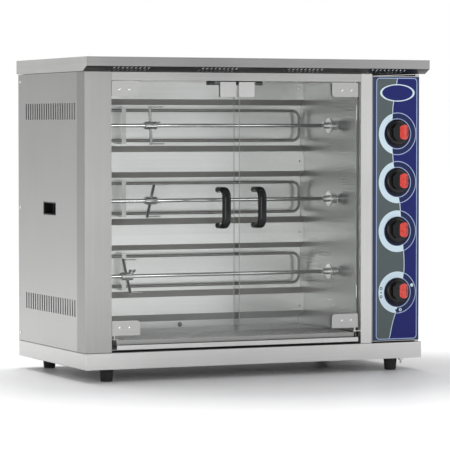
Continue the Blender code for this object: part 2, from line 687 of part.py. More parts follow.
def make_drive():
    shaft_z = DECK + MOTOR_RISE
    centre = (SPROCKET_X, SPIT_DEPTH, shaft_z)
    near = SPROCKET_X + MOTOR_GAP
    shaft = rods(((-SPROCKET_T, 0, 0), (MOTOR_GAP + SHAFT_ENTRY, 0, 0), SHAFT_R))
    combine(piece("motor_sprocket", shaft, "steel", centre), "UNION", toothed(*centre[1:]))

    inner = SPROCKET_R + 2 * CLEAR
    loops = []
    for radius in (inner + CHAIN_T, inner):
        loop = [*arc((SPIT_DEPTH, SPIT_AXES[0]), radius, 0, 180, 12)]
        loops.append(loop + [*arc((SPIT_DEPTH, shaft_z), radius, 180, 360, 12)])
    chain = prism(loops[0], "x", SPROCKET_X - CHAIN_W / 2, SPROCKET_X + CHAIN_W / 2)
    chain = piece("drive_chain", chain, "dark_steel")
    combine(chain, "DIFFERENCE", prism(loops[1], "x", SPROCKET_X - CHAIN_W, SPROCKET_X + CHAIN_W))

    long, wide, high = GEARBOX
    far, side, foot = near + long, wide / 2, shaft_z - high / 2
    box = ((near, SPIT_DEPTH - side, foot), (far, SPIT_DEPTH + side, shaft_z + high / 2))
    motor = piece("gear_motor", boxes(box), "motor_paint")
    can = ((far - SHEET, SPIT_DEPTH, shaft_z), (far + MOTOR_L, SPIT_DEPTH, shaft_z), MOTOR_R)
    combine(motor, "UNION", rods(can, segments=20))
    spread = side + MOTOR_FOOT
    low = (near + MOTOR_INSET, SPIT_DEPTH - spread, DECK + GAP)
    combine(motor, "UNION", boxes((low, (far - MOTOR_INSET, SPIT_DEPTH + spread, foot + SHEET))))
    ends = [(x, SPIT_DEPTH, shaft_z) for x in (near - REACH, near + SHAFT_ENTRY + GAP)]
    combine(motor, "DIFFERENCE", rods((*ends, SHAFT_R + CLEAR)))


def glass_slot(near, far, foot, head):
    """The slot that a fitting needs for the door's glass."""
    return boxes(((near, GLASS_DEPTH - GAP, foot), (far, GLASS_DEPTH + GLASS_T + GAP, head)))


def make_clamp(name, edge, pivot, inward, end, middle):
    """A hinge clamp on one corner of a door: a plate each side of the glass, a web and the pivot pin."""
    width, height = CLAMP
    corner = [(0, -CLAMP_WEB), (0, height)]
    corner += [*arc((width - CLAMP_ROUND, height - CLAMP_ROUND), CLAMP_ROUND, 90, 0, 4)]
    corner.append((width, -CLAMP_WEB))
    outline = [(edge + inward * across, end + middle * up) for across, up in corner]
    front, back = GLASS_DEPTH - CLAMP_WALL, GLASS_DEPTH + GLASS_T + CLAMP_WALL
    clamp = piece(name, prism(outline, "y", front, back), "steel")
    slot_x = sorted((edge - inward * width, edge + inward * 2 * width))
    slot_z = sorted((end - middle * GAP, end + middle * 2 * height))
    combine(clamp, "DIFFERENCE", glass_slot(*slot_x, *slot_z))
    past = RAIL_FOOT + SHEET + PIN_PAST if middle < 0 else DECK + LUG_RISE - PIN_PAST
    pin = ((pivot, GLASS_MIDDLE, end - middle * CLAMP_WEB / 2), (pivot, GLASS_MIDDLE, past), PIVOT_R)
    combine(clamp, "UNION", rods(pin))


def make_door(side, edge, pivot, inward):
    """A frameless glass door with its corner fittings and handle, all carried by its hinge."""
    free = DOOR_MIDDLE - inward * DOOR_GAP / 2
    near, far = sorted((edge, free))
    glass = boxes(((near, GLASS_DEPTH, GLASS_FOOT), (far, GLASS_DEPTH + GLASS_T, GLASS_HEAD)))
    piece(f"{side}_door_glass", glass, "glass")
    make_clamp(f"{side}_hinge_top", edge, pivot, inward, GLASS_HEAD, -1)
    make_clamp(f"{side}_hinge_bottom", edge, pivot, inward, GLASS_FOOT, 1)

    wide, high = STRIKE
    near, far = sorted((free + inward * STRIKE_WALL, free + inward * (STRIKE_WALL - wide)))
    front, back = GLASS_DEPTH - STRIKE_WALL, GLASS_DEPTH + GLASS_T + STRIKE_WALL
    plate = boxes(((near, front, GLASS_HEAD - high), (far, back, GLASS_HEAD + STRIKE_WALL)))
    plate = piece(f"{side}_strike_plate", plate, "steel")
    slot = sorted((free + inward * GAP, free - inward * 2 * wide))
    combine(plate, "DIFFERENCE", glass_slot(*slot, GLASS_HEAD - 2 * high, GLASS_HEAD + GAP))

    root, bar = GLASS_DEPTH - GAP, GLASS_DEPTH - HANDLE_REACH + HANDLE_R
    foot, head = (DECK + HANDLE_MIDDLE + way * HANDLE_SPAN / 2 for way in (-1, 1))
    route = [(root, foot), *arc((bar + HANDLE_BEND, foot + HANDLE_BEND), HANDLE_BEND, 270, 180, 5)]
    route += [*arc((bar + HANDLE_BEND, head - HANDLE_BEND), HANDLE_BEND, 180, 90, 5), (root, head)]
    x = free - inward * HANDLE_IN
    tube(f"{side}_handle", [(x, y, z) for y, z in route], HANDLE_R, "black_plastic", HANDLE_FLAT)

    fittings = ("door_glass", "hinge_top", "hinge_bottom", "strike_plate", "handle")
    names = [f"{side}_{part}" for part in fittings]
    carry(f"{side}_door_hinge", (pivot, GLASS_MIDDLE, GLASS_FOOT), names)


def carry(name, origin, names):
    """Hangs sub-parts from an empty on their joint's axis, without moving them."""
    empty = add_object(name, None, parts, origin)
    for obj in (parts.objects[part] for part in names):
        obj.parent = empty
        obj.location -= Vector(origin)


def make_catch():
    wide, deep, high = CATCH
    front, head = GLASS_DEPTH + GLASS_T + STRIKE_WALL + CATCH_OFF, RAIL_FOOT - GAP
    body = ((DOOR_MIDDLE - wide / 2, front, head - high), (DOOR_MIDDLE + wide / 2, front + deep, head))
    piece("magnetic_catch", boxes(body), "dark_steel")


def make_tray():
    near, far = WALL_L + TRAY_INSET[0], WALL_R - TRAY_INSET[1]
    front, back = TRAY_FRONT, TRAY_BACK
    foot = DECK + TRAY_FOOT
    tray = boxes(((near, front, foot), (far, back, foot + TRAY_H)))
    pan("drip_tray", tray, (0, 0, 1), "polished_steel", thickness=LINER)

    near, far = near + GRID_INSET, far - GRID_INSET
    front, back = front + GRID_FRONT, back - GRID_INSET
    cover = boxes(((near, front, foot + LINER + GAP), (far, back, DECK + GRID_TOP)))
    grid = pan("grease_grid", cover, (0, 0, -1), thickness=LINER)
    columns, rows = GRID_SLOTS
    half_w, half_l = GRID_SLOT_W / 2, ((back - front) / rows - GRID_BAR) / 2
    under, over = DECK + GRID_TOP - 2 * SHEET, DECK + GRID_TOP + REACH
    slots = []
    for column in range(columns):
        for row in range(rows):
            x = near + (far - near) * (column + 0.5) / columns
            y = front + (back - front) * (row + 0.5) / rows
            slots.append(((x - half_w, y - half_l, under), (x + half_w, y + half_l, over)))
    combine(grid, "DIFFERENCE", boxes(*slots))
    carry("tray_slide", (0, TRAY_FRONT, foot), ["drip_tray", "grease_grid"])


def make_controls():
    back, front = FILM + KNOB_OFF, FILM + KNOB_OFF + KNOB_SKIRT
    profile = [
        (0, front), (KNOB_R - KNOB_SKIRT / 2, front), (KNOB_R, front - KNOB_SKIRT / 2), (KNOB_R, back),
        (SPINDLE_R, back), (SPINDLE_R, -SPINDLE_L), (0, -SPINDLE_L),
    ]
    half_w, half_h = KNOB_GRIP[0] / 2, KNOB_GRIP[1] / 2
    across, along = half_w - KNOB_CORNER[0], half_h - KNOB_CORNER[1]
    outline = [(half_w, along), (across, half_h), (-across, half_h), (-half_w, along)]
    outline += [(-x, -y) for x, y in outline]
    for name, z in zip(("upper", "middle", "lower", "motor"), KNOB_AXES):
        centre = (KNOB_X, 0, z)
        knob = turned(f"knob_{name}", profile, "black_plastic", centre, "front", 20)
        grip = prism(outline, "z", front - SHEET, front + KNOB_GRIP[2])
        combine(knob, "UNION", grip, centre, TURNS["front"])

    wide, deep, high = REGULATOR
    strap, side = REGULATOR_DEPTH + deep, wide / 2
    low, top = KNOB_AXES[-1] - high, KNOB_AXES[0] + high
    profile = [(SHEET + GAP, top), (strap, top), (strap, low), (SHEET + GAP, low)]
    edges = (KNOB_X - side - STRAP_OVER, KNOB_X + side + STRAP_OVER)
    bank = folded("regulator_bank", profile, "x", *edges)
    for z in KNOB_AXES:
        foot, head = z - high / 2, z + high / 2
        case = ((KNOB_X - side, REGULATOR_DEPTH, foot), (KNOB_X + side, strap + SHEET / 2, head))
        combine(bank, "UNION", boxes(case))
    bores = [((KNOB_X, 0, z), (KNOB_X, SPINDLE_L + GAP, z), SPINDLE_R + CLEAR) for z in KNOB_AXES]
    combine(bank, "DIFFERENCE", rods(*bores))


def make_supply():
    x, z = GLAND_AXIS
    top = BODY_D + GLAND_OUT - BACK
    profile = [
        (0, GLAND_NUT_H), (GLAND_BORE_R, GLAND_NUT_H), (GLAND_BORE_R, top), (GLAND_THREAD_R, top),
        (GLAND_R - SHEET, GLAND_NUT_H), (GLAND_R, GLAND_NUT_H), (GLAND_R, GAP), (GLAND_THREAD_R, GAP),
        (GLAND_THREAD_R, -GLAND_NUT_H), (0, -GLAND_NUT_H),
    ]
    turned("cable_gland", profile, "black_plastic", (x, BACK, z), "back", 12)
    wide, deep, high = BLOCK
    back, foot = BACK - BLOCK_OFF, DECK + GAP
    shape = boxes(((x - wide / 2, back - deep, foot), (x + wide / 2, back, foot + high)))
    block = piece("terminal_block", shape, "ceramic")
    depths, level = (back - deep - REACH, back + REACH), foot + BLOCK_BORE_H
    ends = [[(x + way * wide / 3, depth, level) for depth in depths] for way in (-1, 0, 1)]
    combine(block, "DIFFERENCE", rods(*((*pair, BLOCK_BORE_R) for pair in ends), segments=8))


clear_scene()
parts = new_collection("rotisserie_oven")
cutters = new_collection("cutters")
oven_frame = bpy.data.objects.new("oven_frame", None)
oven_frame.location = (0, FRONT_Y, 0)
parts.objects.link(oven_frame)

make_plinth()
make_casing()
make_roof()
make_front_frame()
make_chamber()
make_heaters()
make_rest_rail()
make_spits()
make_drive()
make_door("left", DOOR_EDGES[0], PIVOTS[0], 1)
make_door("right", DOOR_EDGES[1], PIVOTS[1], -1)
make_catch()
make_tray()
make_controls()
make_supply()
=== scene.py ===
"""Electric rotisserie oven: the looks of its sheet steel, glass, spits, drive and controls."""

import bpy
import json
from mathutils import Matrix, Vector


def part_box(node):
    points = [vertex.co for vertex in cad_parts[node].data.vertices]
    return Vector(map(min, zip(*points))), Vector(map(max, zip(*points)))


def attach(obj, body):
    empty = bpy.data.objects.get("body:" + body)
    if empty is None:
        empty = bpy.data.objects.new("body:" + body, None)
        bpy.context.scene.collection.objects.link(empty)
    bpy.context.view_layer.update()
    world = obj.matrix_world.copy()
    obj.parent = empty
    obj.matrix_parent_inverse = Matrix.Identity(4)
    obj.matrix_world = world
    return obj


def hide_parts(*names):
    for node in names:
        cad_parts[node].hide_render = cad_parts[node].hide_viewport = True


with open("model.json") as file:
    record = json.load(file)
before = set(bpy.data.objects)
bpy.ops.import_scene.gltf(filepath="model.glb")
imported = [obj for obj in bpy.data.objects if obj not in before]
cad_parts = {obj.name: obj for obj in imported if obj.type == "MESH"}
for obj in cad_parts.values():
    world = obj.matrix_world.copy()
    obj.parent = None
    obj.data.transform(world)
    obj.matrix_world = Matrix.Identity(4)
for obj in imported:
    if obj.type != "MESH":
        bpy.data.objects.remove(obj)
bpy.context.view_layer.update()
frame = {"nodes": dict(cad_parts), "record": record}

import json
import math

import bmesh
import bpy
from mathutils import Vector

# ---- Studio ---------------------------------------------------------------------------------
# A pale floor that runs up into a white backdrop, with soft boxes over, left and right of the
# oven. The camera stands off the left front corner at about the height of the upper knob.

bpy.ops.object.select_all(action="DESELECT")
bpy.ops.mesh.primitive_plane_add(size=30, location=(0, 6, -0.0002))
floor = bpy.context.active_object
bpy.ops.object.transform_apply(location=True)
floor.name = "studio_floor"

VIEW_SPOT = (-2.9875, -6.6907, 0.6728)
VIEW_PITCH, VIEW_TURN = math.radians(87.88), math.radians(-24.143)
LENS = 210.86
bpy.ops.object.camera_add(location=VIEW_SPOT, rotation=(VIEW_PITCH, 0, VIEW_TURN))
camera = bpy.context.active_object
camera.data.lens = LENS
camera.data.clip_end = 100
bpy.context.scene.camera = camera
bpy.context.scene.view_settings.view_transform = "Standard"

# each soft box: where it hangs, what it faces, its width and height, and its power
SOFT_BOXES = {
    "box_over": ((-0.2, 0.8, 2.7), (0.0, 0.0, 0.4), (3.0, 2.0), 78),
    "box_left": ((-3.4, -1.6, 1.5), (-0.3, 0.0, 0.5), (2.0, 2.4), 18),
    "box_right": ((2.9, -3.2, 1.7), (0.1, 0.0, 0.4), (1.8, 2.6), 20),
    "box_low": ((-0.4, -3.4, 0.5), (-0.05, 0.1, 0.35), (1.6, 0.9), 17),
}
for name, (spot, aim, size, power) in SOFT_BOXES.items():
    bpy.ops.object.light_add(type="AREA", location=spot)
    lamp = bpy.context.active_object
    lamp.name = name
    lamp.rotation_euler = (Vector(spot) - Vector(aim)).to_track_quat("Z", "Y").to_euler()
    lamp.data.shape = "RECTANGLE"
    lamp.data.size, lamp.data.size_y = size
    lamp.data.energy = power


class Wire:
    """A socket of a node tree. Sums written on it add Math nodes."""

    def __init__(self, tree, socket=None):
        self.tree, self.socket = tree, socket

    def node(self, kind, settings=None, inputs=None, output=0):
        """Any other node: its settings first, then each socket's value or link."""
        made = self.tree.nodes.new("ShaderNode" + kind)
        for setting, value in (settings or {}).items():
            if setting == "stops":
                ramp = made.color_ramp
                while len(ramp.elements) < len(value):
                    ramp.elements.new(0.5)
                for element, (position, colour) in zip(ramp.elements, value):
                    element.position, element.color = position, (*colour, 1)
            elif setting == "smooth":
                made.color_ramp.interpolation = value
            else:
                setattr(made, setting, value)
        for socket, value in (inputs or {}).items():
            if isinstance(value, Wire):
                self.tree.links.new(value.socket, made.inputs[socket])
            else:
                made.inputs[socket].default_value = value
        return Wire(self.tree, made.outputs[output])

    def math(self, operation, *terms, clamp=False):
        return self.node("Math", {"operation": operation, "use_clamp": clamp}, dict(enumerate(terms)))

    def __add__(self, other):
        return self.math("ADD", self, other)

    def __sub__(self, other):
        return self.math("SUBTRACT", self, other)

    def __rsub__(self, other):
        return self.math("SUBTRACT", other, self)

    def __mul__(self, other):
        return self.math("MULTIPLY", self, other)

    __radd__, __rmul__ = __add__, __mul__

    def size(self):
        return self.math("ABSOLUTE", self)

    def least(self, other):
        return self.math("MINIMUM", self, other)

    def most(self, other):
        return self.math("MAXIMUM", self, other)

    def under(self, limit, soft=0.0003):
        """1 where this is below the limit and 0 above it, over a soft edge."""
        return self.math("MULTIPLY_ADD", self, -1 / soft, limit / soft + 0.5, clamp=True)

    def blend(self, low, high):
        """The low colour where this is 0 and the high one where it is 1."""
        return self.node("Mix", {"data_type": "RGBA"}, {0: self, 6: low, 7: high}, output=2)

    def part(self, axis):
        return self.node("SeparateXYZ", None, {0: self}, output="XYZ".index(axis))

    def stretched(self, scale):
        return self.node("Mapping", None, {"Vector": self, "Scale": scale})

    def noise(self, scale, detail=2.0, roughness=0.5):
        values = {"Vector": self, "Scale": scale, "Detail": detail, "Roughness": roughness}
        return self.node("TexNoise", None, values)

    def bump(self, distance, strength=1.0):
        return self.node("Bump", None, {"Height": self, "Distance": distance, "Strength": strength})

    def feed(self, shader, **sockets):
        for socket, value in sockets.items():
            self.tree.links.new(value.socket, shader.inputs[socket.replace("_", " ")])


def blank(name, **constants):
    """A new material, its shader, and the place on the piece that its pattern follows."""
    material = bpy.data.materials.new(name)
    material.use_nodes = True
    shader = material.node_tree.nodes["Principled BSDF"]
    for socket, value in constants.items():
        shader.inputs[socket.replace("_", " ")].default_value = value
    return material, shader, Wire(material.node_tree).node("TexCoord", output="Object")


# the floor paper glows, which is painted light, and the glow fades out towards the oven, which paints
# a soft shadow round it
paper, shader, place = blank("floor_paper", Roughness=0.42, Emission_Strength=0.55)
mottle = place.noise(3.0)
away = place.node("VectorMath", {"operation": "LENGTH"}, {0: place}, "Value")
painted_floor_glow = 1 - away.under(1.25, 1.1)  # the paper brightens into the backdrop away from the oven
place.feed(
    shader, Base_Color=mottle.blend((0.86, 0.86, 0.87, 1), (0.90, 0.90, 0.90, 1)),
    Normal=place.noise(400.0).bump(0.0002, 0.1), Emission_Color=painted_floor_glow.blend((0, 0, 0, 1), (1, 1, 1, 1)),
)
floor.data.materials.append(paper)

world = bpy.data.worlds.new("studio")
bpy.context.scene.world = world
world.use_nodes = True
# what the steel reflects is lighter behind the oven than before it, and the backdrop is white
facing = Wire(world.node_tree).node("TexCoord", output="Generated").part("Y") * 0.5 + 0.5
ROOM_SHADES = [(0.45, (0.44, 0.44, 0.45)), (0.62, (0.58, 0.58, 0.58))]
room = facing.node("ValToRGB", {"stops": ROOM_SHADES}, {0: facing})
seen = facing.node("LightPath", output="Is Camera Ray")
room = seen.blend(room, (1.0, 1.0, 1.0, 1))
world.node_tree.links.new(room.socket, world.node_tree.nodes["Background"].inputs["Color"])

# ---- Base plinth -----------------------------------------------------------------------------
# A pan of brushed stainless sheet folded down on four sides, with its rim turned in below. The
# corners are folded round and tacked, and a bright earth stud hangs under the front right corner.

BODIES = frame["record"]["behaviour"]["bodies"]
BODY_OF = {node: body for body, nodes in BODIES.items() for node in nodes}
SLOT_OF = {part["node"]: part["material_slot"] for part in frame["record"]["subparts"]}
LEVEL, UPRIGHT = (3, 3, 520), (520, 520, 3)  # the grain's pitch along X, Y and Z
FRONT_TURN, BACK_TURN = (math.pi / 2, 0, 0), (-math.pi / 2, 0, 0)  # turns an upright axis this way
RIGHT_TURN, LEFT_TURN = (0, math.pi / 2, 0), (0, -math.pi / 2, 0)


def brushed(name, grain, tone=0.60, polish=0.27, depth=0.00002, cast=(1.0, 1.0, 0.985)):
    """Stainless sheet: fine lines along its grain, and cloudy wipe marks in its shine."""
    material, shader, place = blank(name, Metallic=1.0)
    lines = place.stretched(grain).noise(1.0, 3.0, 0.6)
    wiped = place.noise(5.0, 3.0)
    light = [min(1.0, tone * 1.18 * share) for share in cast] + [1]
    dark = [tone * 0.84 * share for share in cast] + [1]
    place.feed(
        shader, Base_Color=(lines * 0.6 + wiped * 0.4).blend(dark, light),
        Roughness=lines * 0.12 + wiped * 0.10 + (polish - 0.11), Normal=lines.bump(depth, 0.5),
    )
    return material


def alone(piece):
    """Selects one piece and nothing else."""
    bpy.ops.object.select_all(action="DESELECT")
    piece.select_set(True)
    bpy.context.view_layer.objects.active = piece


def edit(piece):
    """Opens a piece's mesh, with all of it selected."""
    alone(piece)
    bpy.ops.object.mode_set(mode="EDIT")
    bpy.ops.mesh.select_mode(type="VERT")
    bpy.ops.mesh.select_all(action="SELECT")


def picked(piece, kind, wanted, mode="VERT"):
    """Opens a piece's mesh, with only its wanted faces or edges selected."""
    edit(piece)
    bpy.ops.mesh.select_mode(type=mode)
    bpy.ops.mesh.select_all(action="DESELECT")
    bpy.ops.object.mode_set(mode="OBJECT")
    for item in getattr(piece.data, kind):
        item.select = wanted(item)
    bpy.ops.object.mode_set(mode="EDIT")


def smoothed(piece, angle=35):
    alone(piece)
    bpy.ops.object.shade_smooth_by_angle(angle=math.radians(angle))
    return piece


def applied(piece, kind, **settings):
    """Bakes one modifier into a piece's mesh."""
    alone(piece)
    modifier = piece.modifiers.new(kind, kind)
    for setting, value in settings.items():
        setattr(modifier, setting, value)
    bpy.ops.object.modifier_apply(modifier=kind)


def soften(piece, width, segments=2, angle=40, smooth=35):
    """Rounds the edges of a piece a little, and keeps its broad faces flat beside them."""
    applied(piece, "BEVEL", width=width, segments=segments, angle_limit=math.radians(angle))
    smoothed(piece, smooth)
    applied(piece, "WEIGHTED_NORMAL", keep_sharp=True)
    return piece


def block(spot, size):
    """A block to shape further."""
    bpy.ops.object.select_all(action="DESELECT")
    bpy.ops.mesh.primitive_cube_add(size=1, location=spot)
    piece = bpy.context.active_object
    piece.scale = size
    bpy.ops.object.transform_apply(location=True, scale=True)
    return piece


def fit(piece, name, finish, body, slot, *nodes):
    """Names a finished piece, gives it its finish and hangs it on a body, in place of CAD nodes."""
    piece.name = piece.data.name = name
    piece.data.materials.clear()
    piece.data.materials.append(finish)
    bpy.context.view_layer.update()
    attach(piece, body)
    if nodes:
        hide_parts(*nodes)
    return piece


def refined(node, finish, edge=0.0003, fold=0.0):
    """A cleaner copy of a CAD piece, with round folds and soft edges, that stands for it."""
    piece = bpy.data.objects.new(node, frame["nodes"][node].data.copy())
    bpy.context.scene.collection.objects.link(piece)
    edit(piece)
    bpy.ops.mesh.remove_doubles(threshold=0.00001)
    bpy.ops.mesh.dissolve_limited(angle_limit=math.radians(0.5))
    if fold:
        round_folds(piece, fold)
    bpy.ops.object.mode_set(mode="OBJECT")
    soften(piece, edge)
    return fit(piece, "fine_" + node, finish, BODY_OF[node], SLOT_OF[node], node)


def round_folds(piece, radius):
    """Bevels the long outer corners between two broad faces, where the sheet is bent."""
    bm = bmesh.from_edit_mesh(piece.data)
    for item in (*bm.verts, *bm.edges, *bm.faces):
        item.select = False
    for edge in bm.edges:
        if len(edge.link_faces) != 2 or not edge.is_convex or edge.calc_face_angle() < 0.3:
            continue
        widths = [face.calc_area() / edge.calc_length() for face in edge.link_faces]
        edge.select = edge.calc_length() > 0.05 and min(widths) > 2.2 * radius
    bm.select_flush_mode()
    bmesh.update_edit_mesh(piece.data)
    bpy.ops.mesh.bevel(offset=radius, segments=3, affect="EDGES")


def turned(rings, spot, turn=(0, 0, 0), steps=48, smooth=35):
    """A turned piece: (radius, height) rings up its axis, which then leans and moves into place."""
    bpy.ops.object.select_all(action="DESELECT")
    radius, height = rings[0]
    bpy.ops.mesh.primitive_circle_add(
        vertices=steps, radius=radius, fill_type="NGON", location=(0, 0, height)
    )
    piece = bpy.context.active_object
    bpy.ops.object.transform_apply(location=True)
    edit(piece)
    for following, level in rings[1:]:
        bpy.ops.mesh.extrude_region_move(TRANSFORM_OT_translate={"value": (0, 0, level - height)})
        share = following / radius
        bpy.ops.transform.resize(value=(share, share, 1), center_override=(0, 0, level))
        radius, height = following, level
    bpy.ops.mesh.select_all(action="SELECT")
    bpy.ops.mesh.remove_doubles(threshold=0.000001)
    bpy.ops.mesh.normals_make_consistent(inside=False)
    bpy.ops.object.mode_set(mode="OBJECT")
    return placed(piece, spot, turn, smooth)


def placed(piece, spot, turn=(0, 0, 0), smooth=35):
    """Moves a piece made about the origin into its place, and leaves its object at the origin."""
    alone(piece)
    piece.location, piece.rotation_euler = spot, turn
    bpy.ops.object.transform_apply(location=True, rotation=True, scale=True)
    return smoothed(piece, smooth)


def merged(pieces):
    """Several loose pieces made one mesh."""
    bpy.ops.object.select_all(action="DESELECT")
    for piece in pieces:
        piece.select_set(True)
    bpy.context.view_layer.objects.active = pieces[0]
    bpy.ops.object.join()
    return pieces[0]


def copied(piece, spot, turn=(0, 0, 0)):
    """A copy, with its own mesh, of a piece made about the origin."""
    twin = bpy.data.objects.new(piece.name, piece.data.copy())
    bpy.context.scene.collection.objects.link(twin)
    return placed(twin, spot, turn)


def middle_of(node):
    low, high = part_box(node)
    return (low + high) / 2


level_steel = brushed("level_brushed_steel", LEVEL, 0.57, 0.32)
refined("base_plinth", level_steel, 0.0004, 0.0025)

bright_zinc = brushed("bright_zinc", (60, 60, 60), 0.72, 0.20, 0.00001, (0.98, 1.0, 1.02))
low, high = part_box("base_plinth")
TACK_INSET = (0.0065, 0.013)  # from the front edge, and from the plinth's top and bottom
tack = [(0.0026, 0.0), (0.0022, 0.0005), (0.0010, 0.0008)]
tacks = [
    turned(tack, (low.x, low.y + TACK_INSET[0], z), LEFT_TURN, 16)
    for z in (low.z + TACK_INSET[1], high.z - TACK_INSET[1])
]
fit(merged(tacks), "corner_tacks", level_steel, "root", "casing_steel")
STUD_SPOT = (0.4448, low.y + 0.016, low.z)
washer = turned([(0.009, -0.0016), (0.009, 0.0)], STUD_SPOT)
nut = turned([(0.0068, -0.0062), (0.0072, -0.0056), (0.0072, -0.0016)], STUD_SPOT, steps=6, smooth=20)
threads = [(0.0028 + 0.0003 * (step % 2), -0.0150 + 0.00045 * step) for step in range(24)]
stud = turned(threads, STUD_SPOT, steps=24)
fit(soften(merged([washer, nut, stud]), 0.0002), "earth_stud", bright_zinc, "root", "liner_steel")

# ---- Feet ------------------------------------------------------------------------------------
# Four tapered feet of black rubber moulded round a steel bush, each pulled up against the
# plinth's rim by a stud and nut, with two shallow grooves and a hole in its sole.


def mottled(name, dark, light, tint, shine, relief, **constants):
    """Rubber, plastic, plating or paint, its colour, gloss and relief each in a fine noise.

    tint is that noise's scale and detail, shine is its least roughness and how much is added,
    then its scale and detail, and relief is its depth and strength, then its scale and detail."""
    material, shader, place = blank(name, **constants)
    least, spread, *shine_grain = shine
    depth, strength, *relief_grain = relief
    place.feed(
        shader, Base_Color=place.noise(*tint).blend((*dark, 1), (*light, 1)),
        Roughness=place.noise(*shine_grain) * spread + least,
        Normal=place.noise(*relief_grain).bump(depth, strength),
    )
    return material


rubber = mottled(
    "foot_rubber", (0.010, 0.010, 0.011), (0.030, 0.029, 0.028), tint=(60, 4),
    shine=(0.55, 0.2, 60, 4), relief=(0.00005, 0.6, 900), Specular_IOR_Level=0.3,
)
FOOT_RINGS = [
    (0.0060, 0.0030), (0.0065, 0.0), (0.0140, 0.0), (0.0152, 0.0004), (0.0160, 0.0016),
    (0.0167, 0.0090), (0.0162, 0.0094), (0.0163, 0.0106), (0.0169, 0.0110), (0.0174, 0.0180),
    (0.0169, 0.0184), (0.0170, 0.0196), (0.0176, 0.0200), (0.0184, 0.0290), (0.0190, 0.0298),
    (0.0190, 0.0330), (0.0184, 0.0340), (0.0100, 0.0340),
]
SHANK_RINGS = [(0.0038, -0.0085), (0.0040, -0.008), (0.0040, 0.0010), (0.0036, 0.0014)]
NUT_RINGS = [(0.0072, -0.0058), (0.0076, -0.0052), (0.0076, 0.0)]
for side in ("front_left", "front_right", "rear_left", "rear_right"):
    node = "foot_" + side
    middle, top = middle_of(node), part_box(node)[1].z
    foot = turned(FOOT_RINGS, (middle.x, middle.y, 0))
    fit(foot, "rubber_foot_" + side, rubber, "root", "foot_rubber", node)
    shank = turned(SHANK_RINGS, (middle.x, middle.y, top), steps=24)
    nut = turned(NUT_RINGS, (middle.x, middle.y, top), steps=6, smooth=20)
    fit(merged([shank, nut]), "foot_stud_" + side, bright_zinc, "root", "liner_steel")

# ---- Side panels, rear panel and stiles ------------------------------------------------------
# Brushed stainless sheet, grain upright. Each side has two rows of punched slots and a square
# hand-hold with a black moulded cup snapped in. The rear panel is held by pan-head screws.

upright_steel = brushed("upright_brushed_steel", UPRIGHT, 0.45, 0.34)
pale_steel = brushed("pale_upright_steel", UPRIGHT, 0.56, 0.34)
painted_shade_stile_steel = brushed("painted_shade_stile_steel", UPRIGHT, 0.34, 0.38)
for node in ("left_side_panel", "right_side_panel", "rear_panel"):
    refined(node, upright_steel, 0.0003, 0.0015)
# the left stile takes a darker copy of the upright steel, painted shade, and the right stile the
# lighter pale copy, painted light
refined("left_front_stile", painted_shade_stile_steel, 0.0003, 0.0018)
refined("right_front_stile", pale_steel, 0.0003, 0.0018)

black_moulding = mottled(
    "black_moulding", (0.006, 0.006, 0.007), (0.013, 0.013, 0.014), tint=(30,),
    shine=(0.20, 0.14, 700), relief=(0.00003, 0.3, 700),
)
LEFT_FACE, RIGHT_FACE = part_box("left_side_panel")[0].x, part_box("right_side_panel")[1].x
HOLD_SPOT = (0.02255, 0.4535)
CUP = (0.030, 0.0948, 0.0334)  # depth, width and height
CUP_WALL, CUP_ROUND = 0.0016, 0.003
for side, face, inward in (("left", LEFT_FACE, 1), ("right", RIGHT_FACE, -1)):
    cup = block((face + inward * CUP[0] / 2, *HOLD_SPOT), CUP)
    edit(cup)
    bpy.ops.mesh.bevel(offset=CUP_ROUND, segments=3)
    bpy.ops.object.mode_set(mode="OBJECT")
    picked(cup, "polygons", lambda polygon: polygon.normal.x * inward < -0.3)
    bpy.ops.mesh.delete(type="FACE")
    bpy.ops.object.mode_set(mode="OBJECT")
    applied(cup, "SOLIDIFY", thickness=CUP_WALL, offset=-1)
    fit(smoothed(cup), side + "_hand_cup", black_moulding, "root", "black_plastic")


def screw_head(spot, turn, radius=0.0038, rise=0.0022):
    """A pan-head screw with a small recess in it, standing on a face."""
    rings = [
        (radius, 0.0), (radius, rise * 0.35), (radius * 0.86, rise * 0.8), (radius * 0.55, rise),
        (radius * 0.22, rise), (radius * 0.16, rise * 0.5),
    ]
    return turned(rings, spot, turn, 16)


low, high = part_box("rear_panel")
REAR_SCREW_INSET = 0.012
edges = (low.x + REAR_SCREW_INSET, high.x - REAR_SCREW_INSET)
spots = [(x, high.y, z) for x in edges for z in (0.105, 0.28, 0.455, 0.63, 0.80)]
spots += [(x, high.y, z) for x in (-0.25, 0.0, 0.25) for z in (0.092, 0.806)]
heads = [screw_head(spot, BACK_TURN) for spot in spots]
fit(merged(heads), "rear_screws", bright_zinc, "root", "liner_steel")
SIDE_SCREW_HEIGHTS = (0.10, 0.45, 0.80)
SIDE_SCREW_FRONT, SIDE_SCREW_REAR = -0.215, 0.255
heads = []
for z in SIDE_SCREW_HEIGHTS:
    heads.append(screw_head((RIGHT_FACE, SIDE_SCREW_FRONT, z), RIGHT_TURN))
    heads.append(screw_head((RIGHT_FACE, SIDE_SCREW_REAR, z), RIGHT_TURN))
    heads.append(screw_head((LEFT_FACE, SIDE_SCREW_REAR, z), LEFT_TURN))
fit(merged(heads), "side_screws", bright_zinc, "root", "liner_steel")
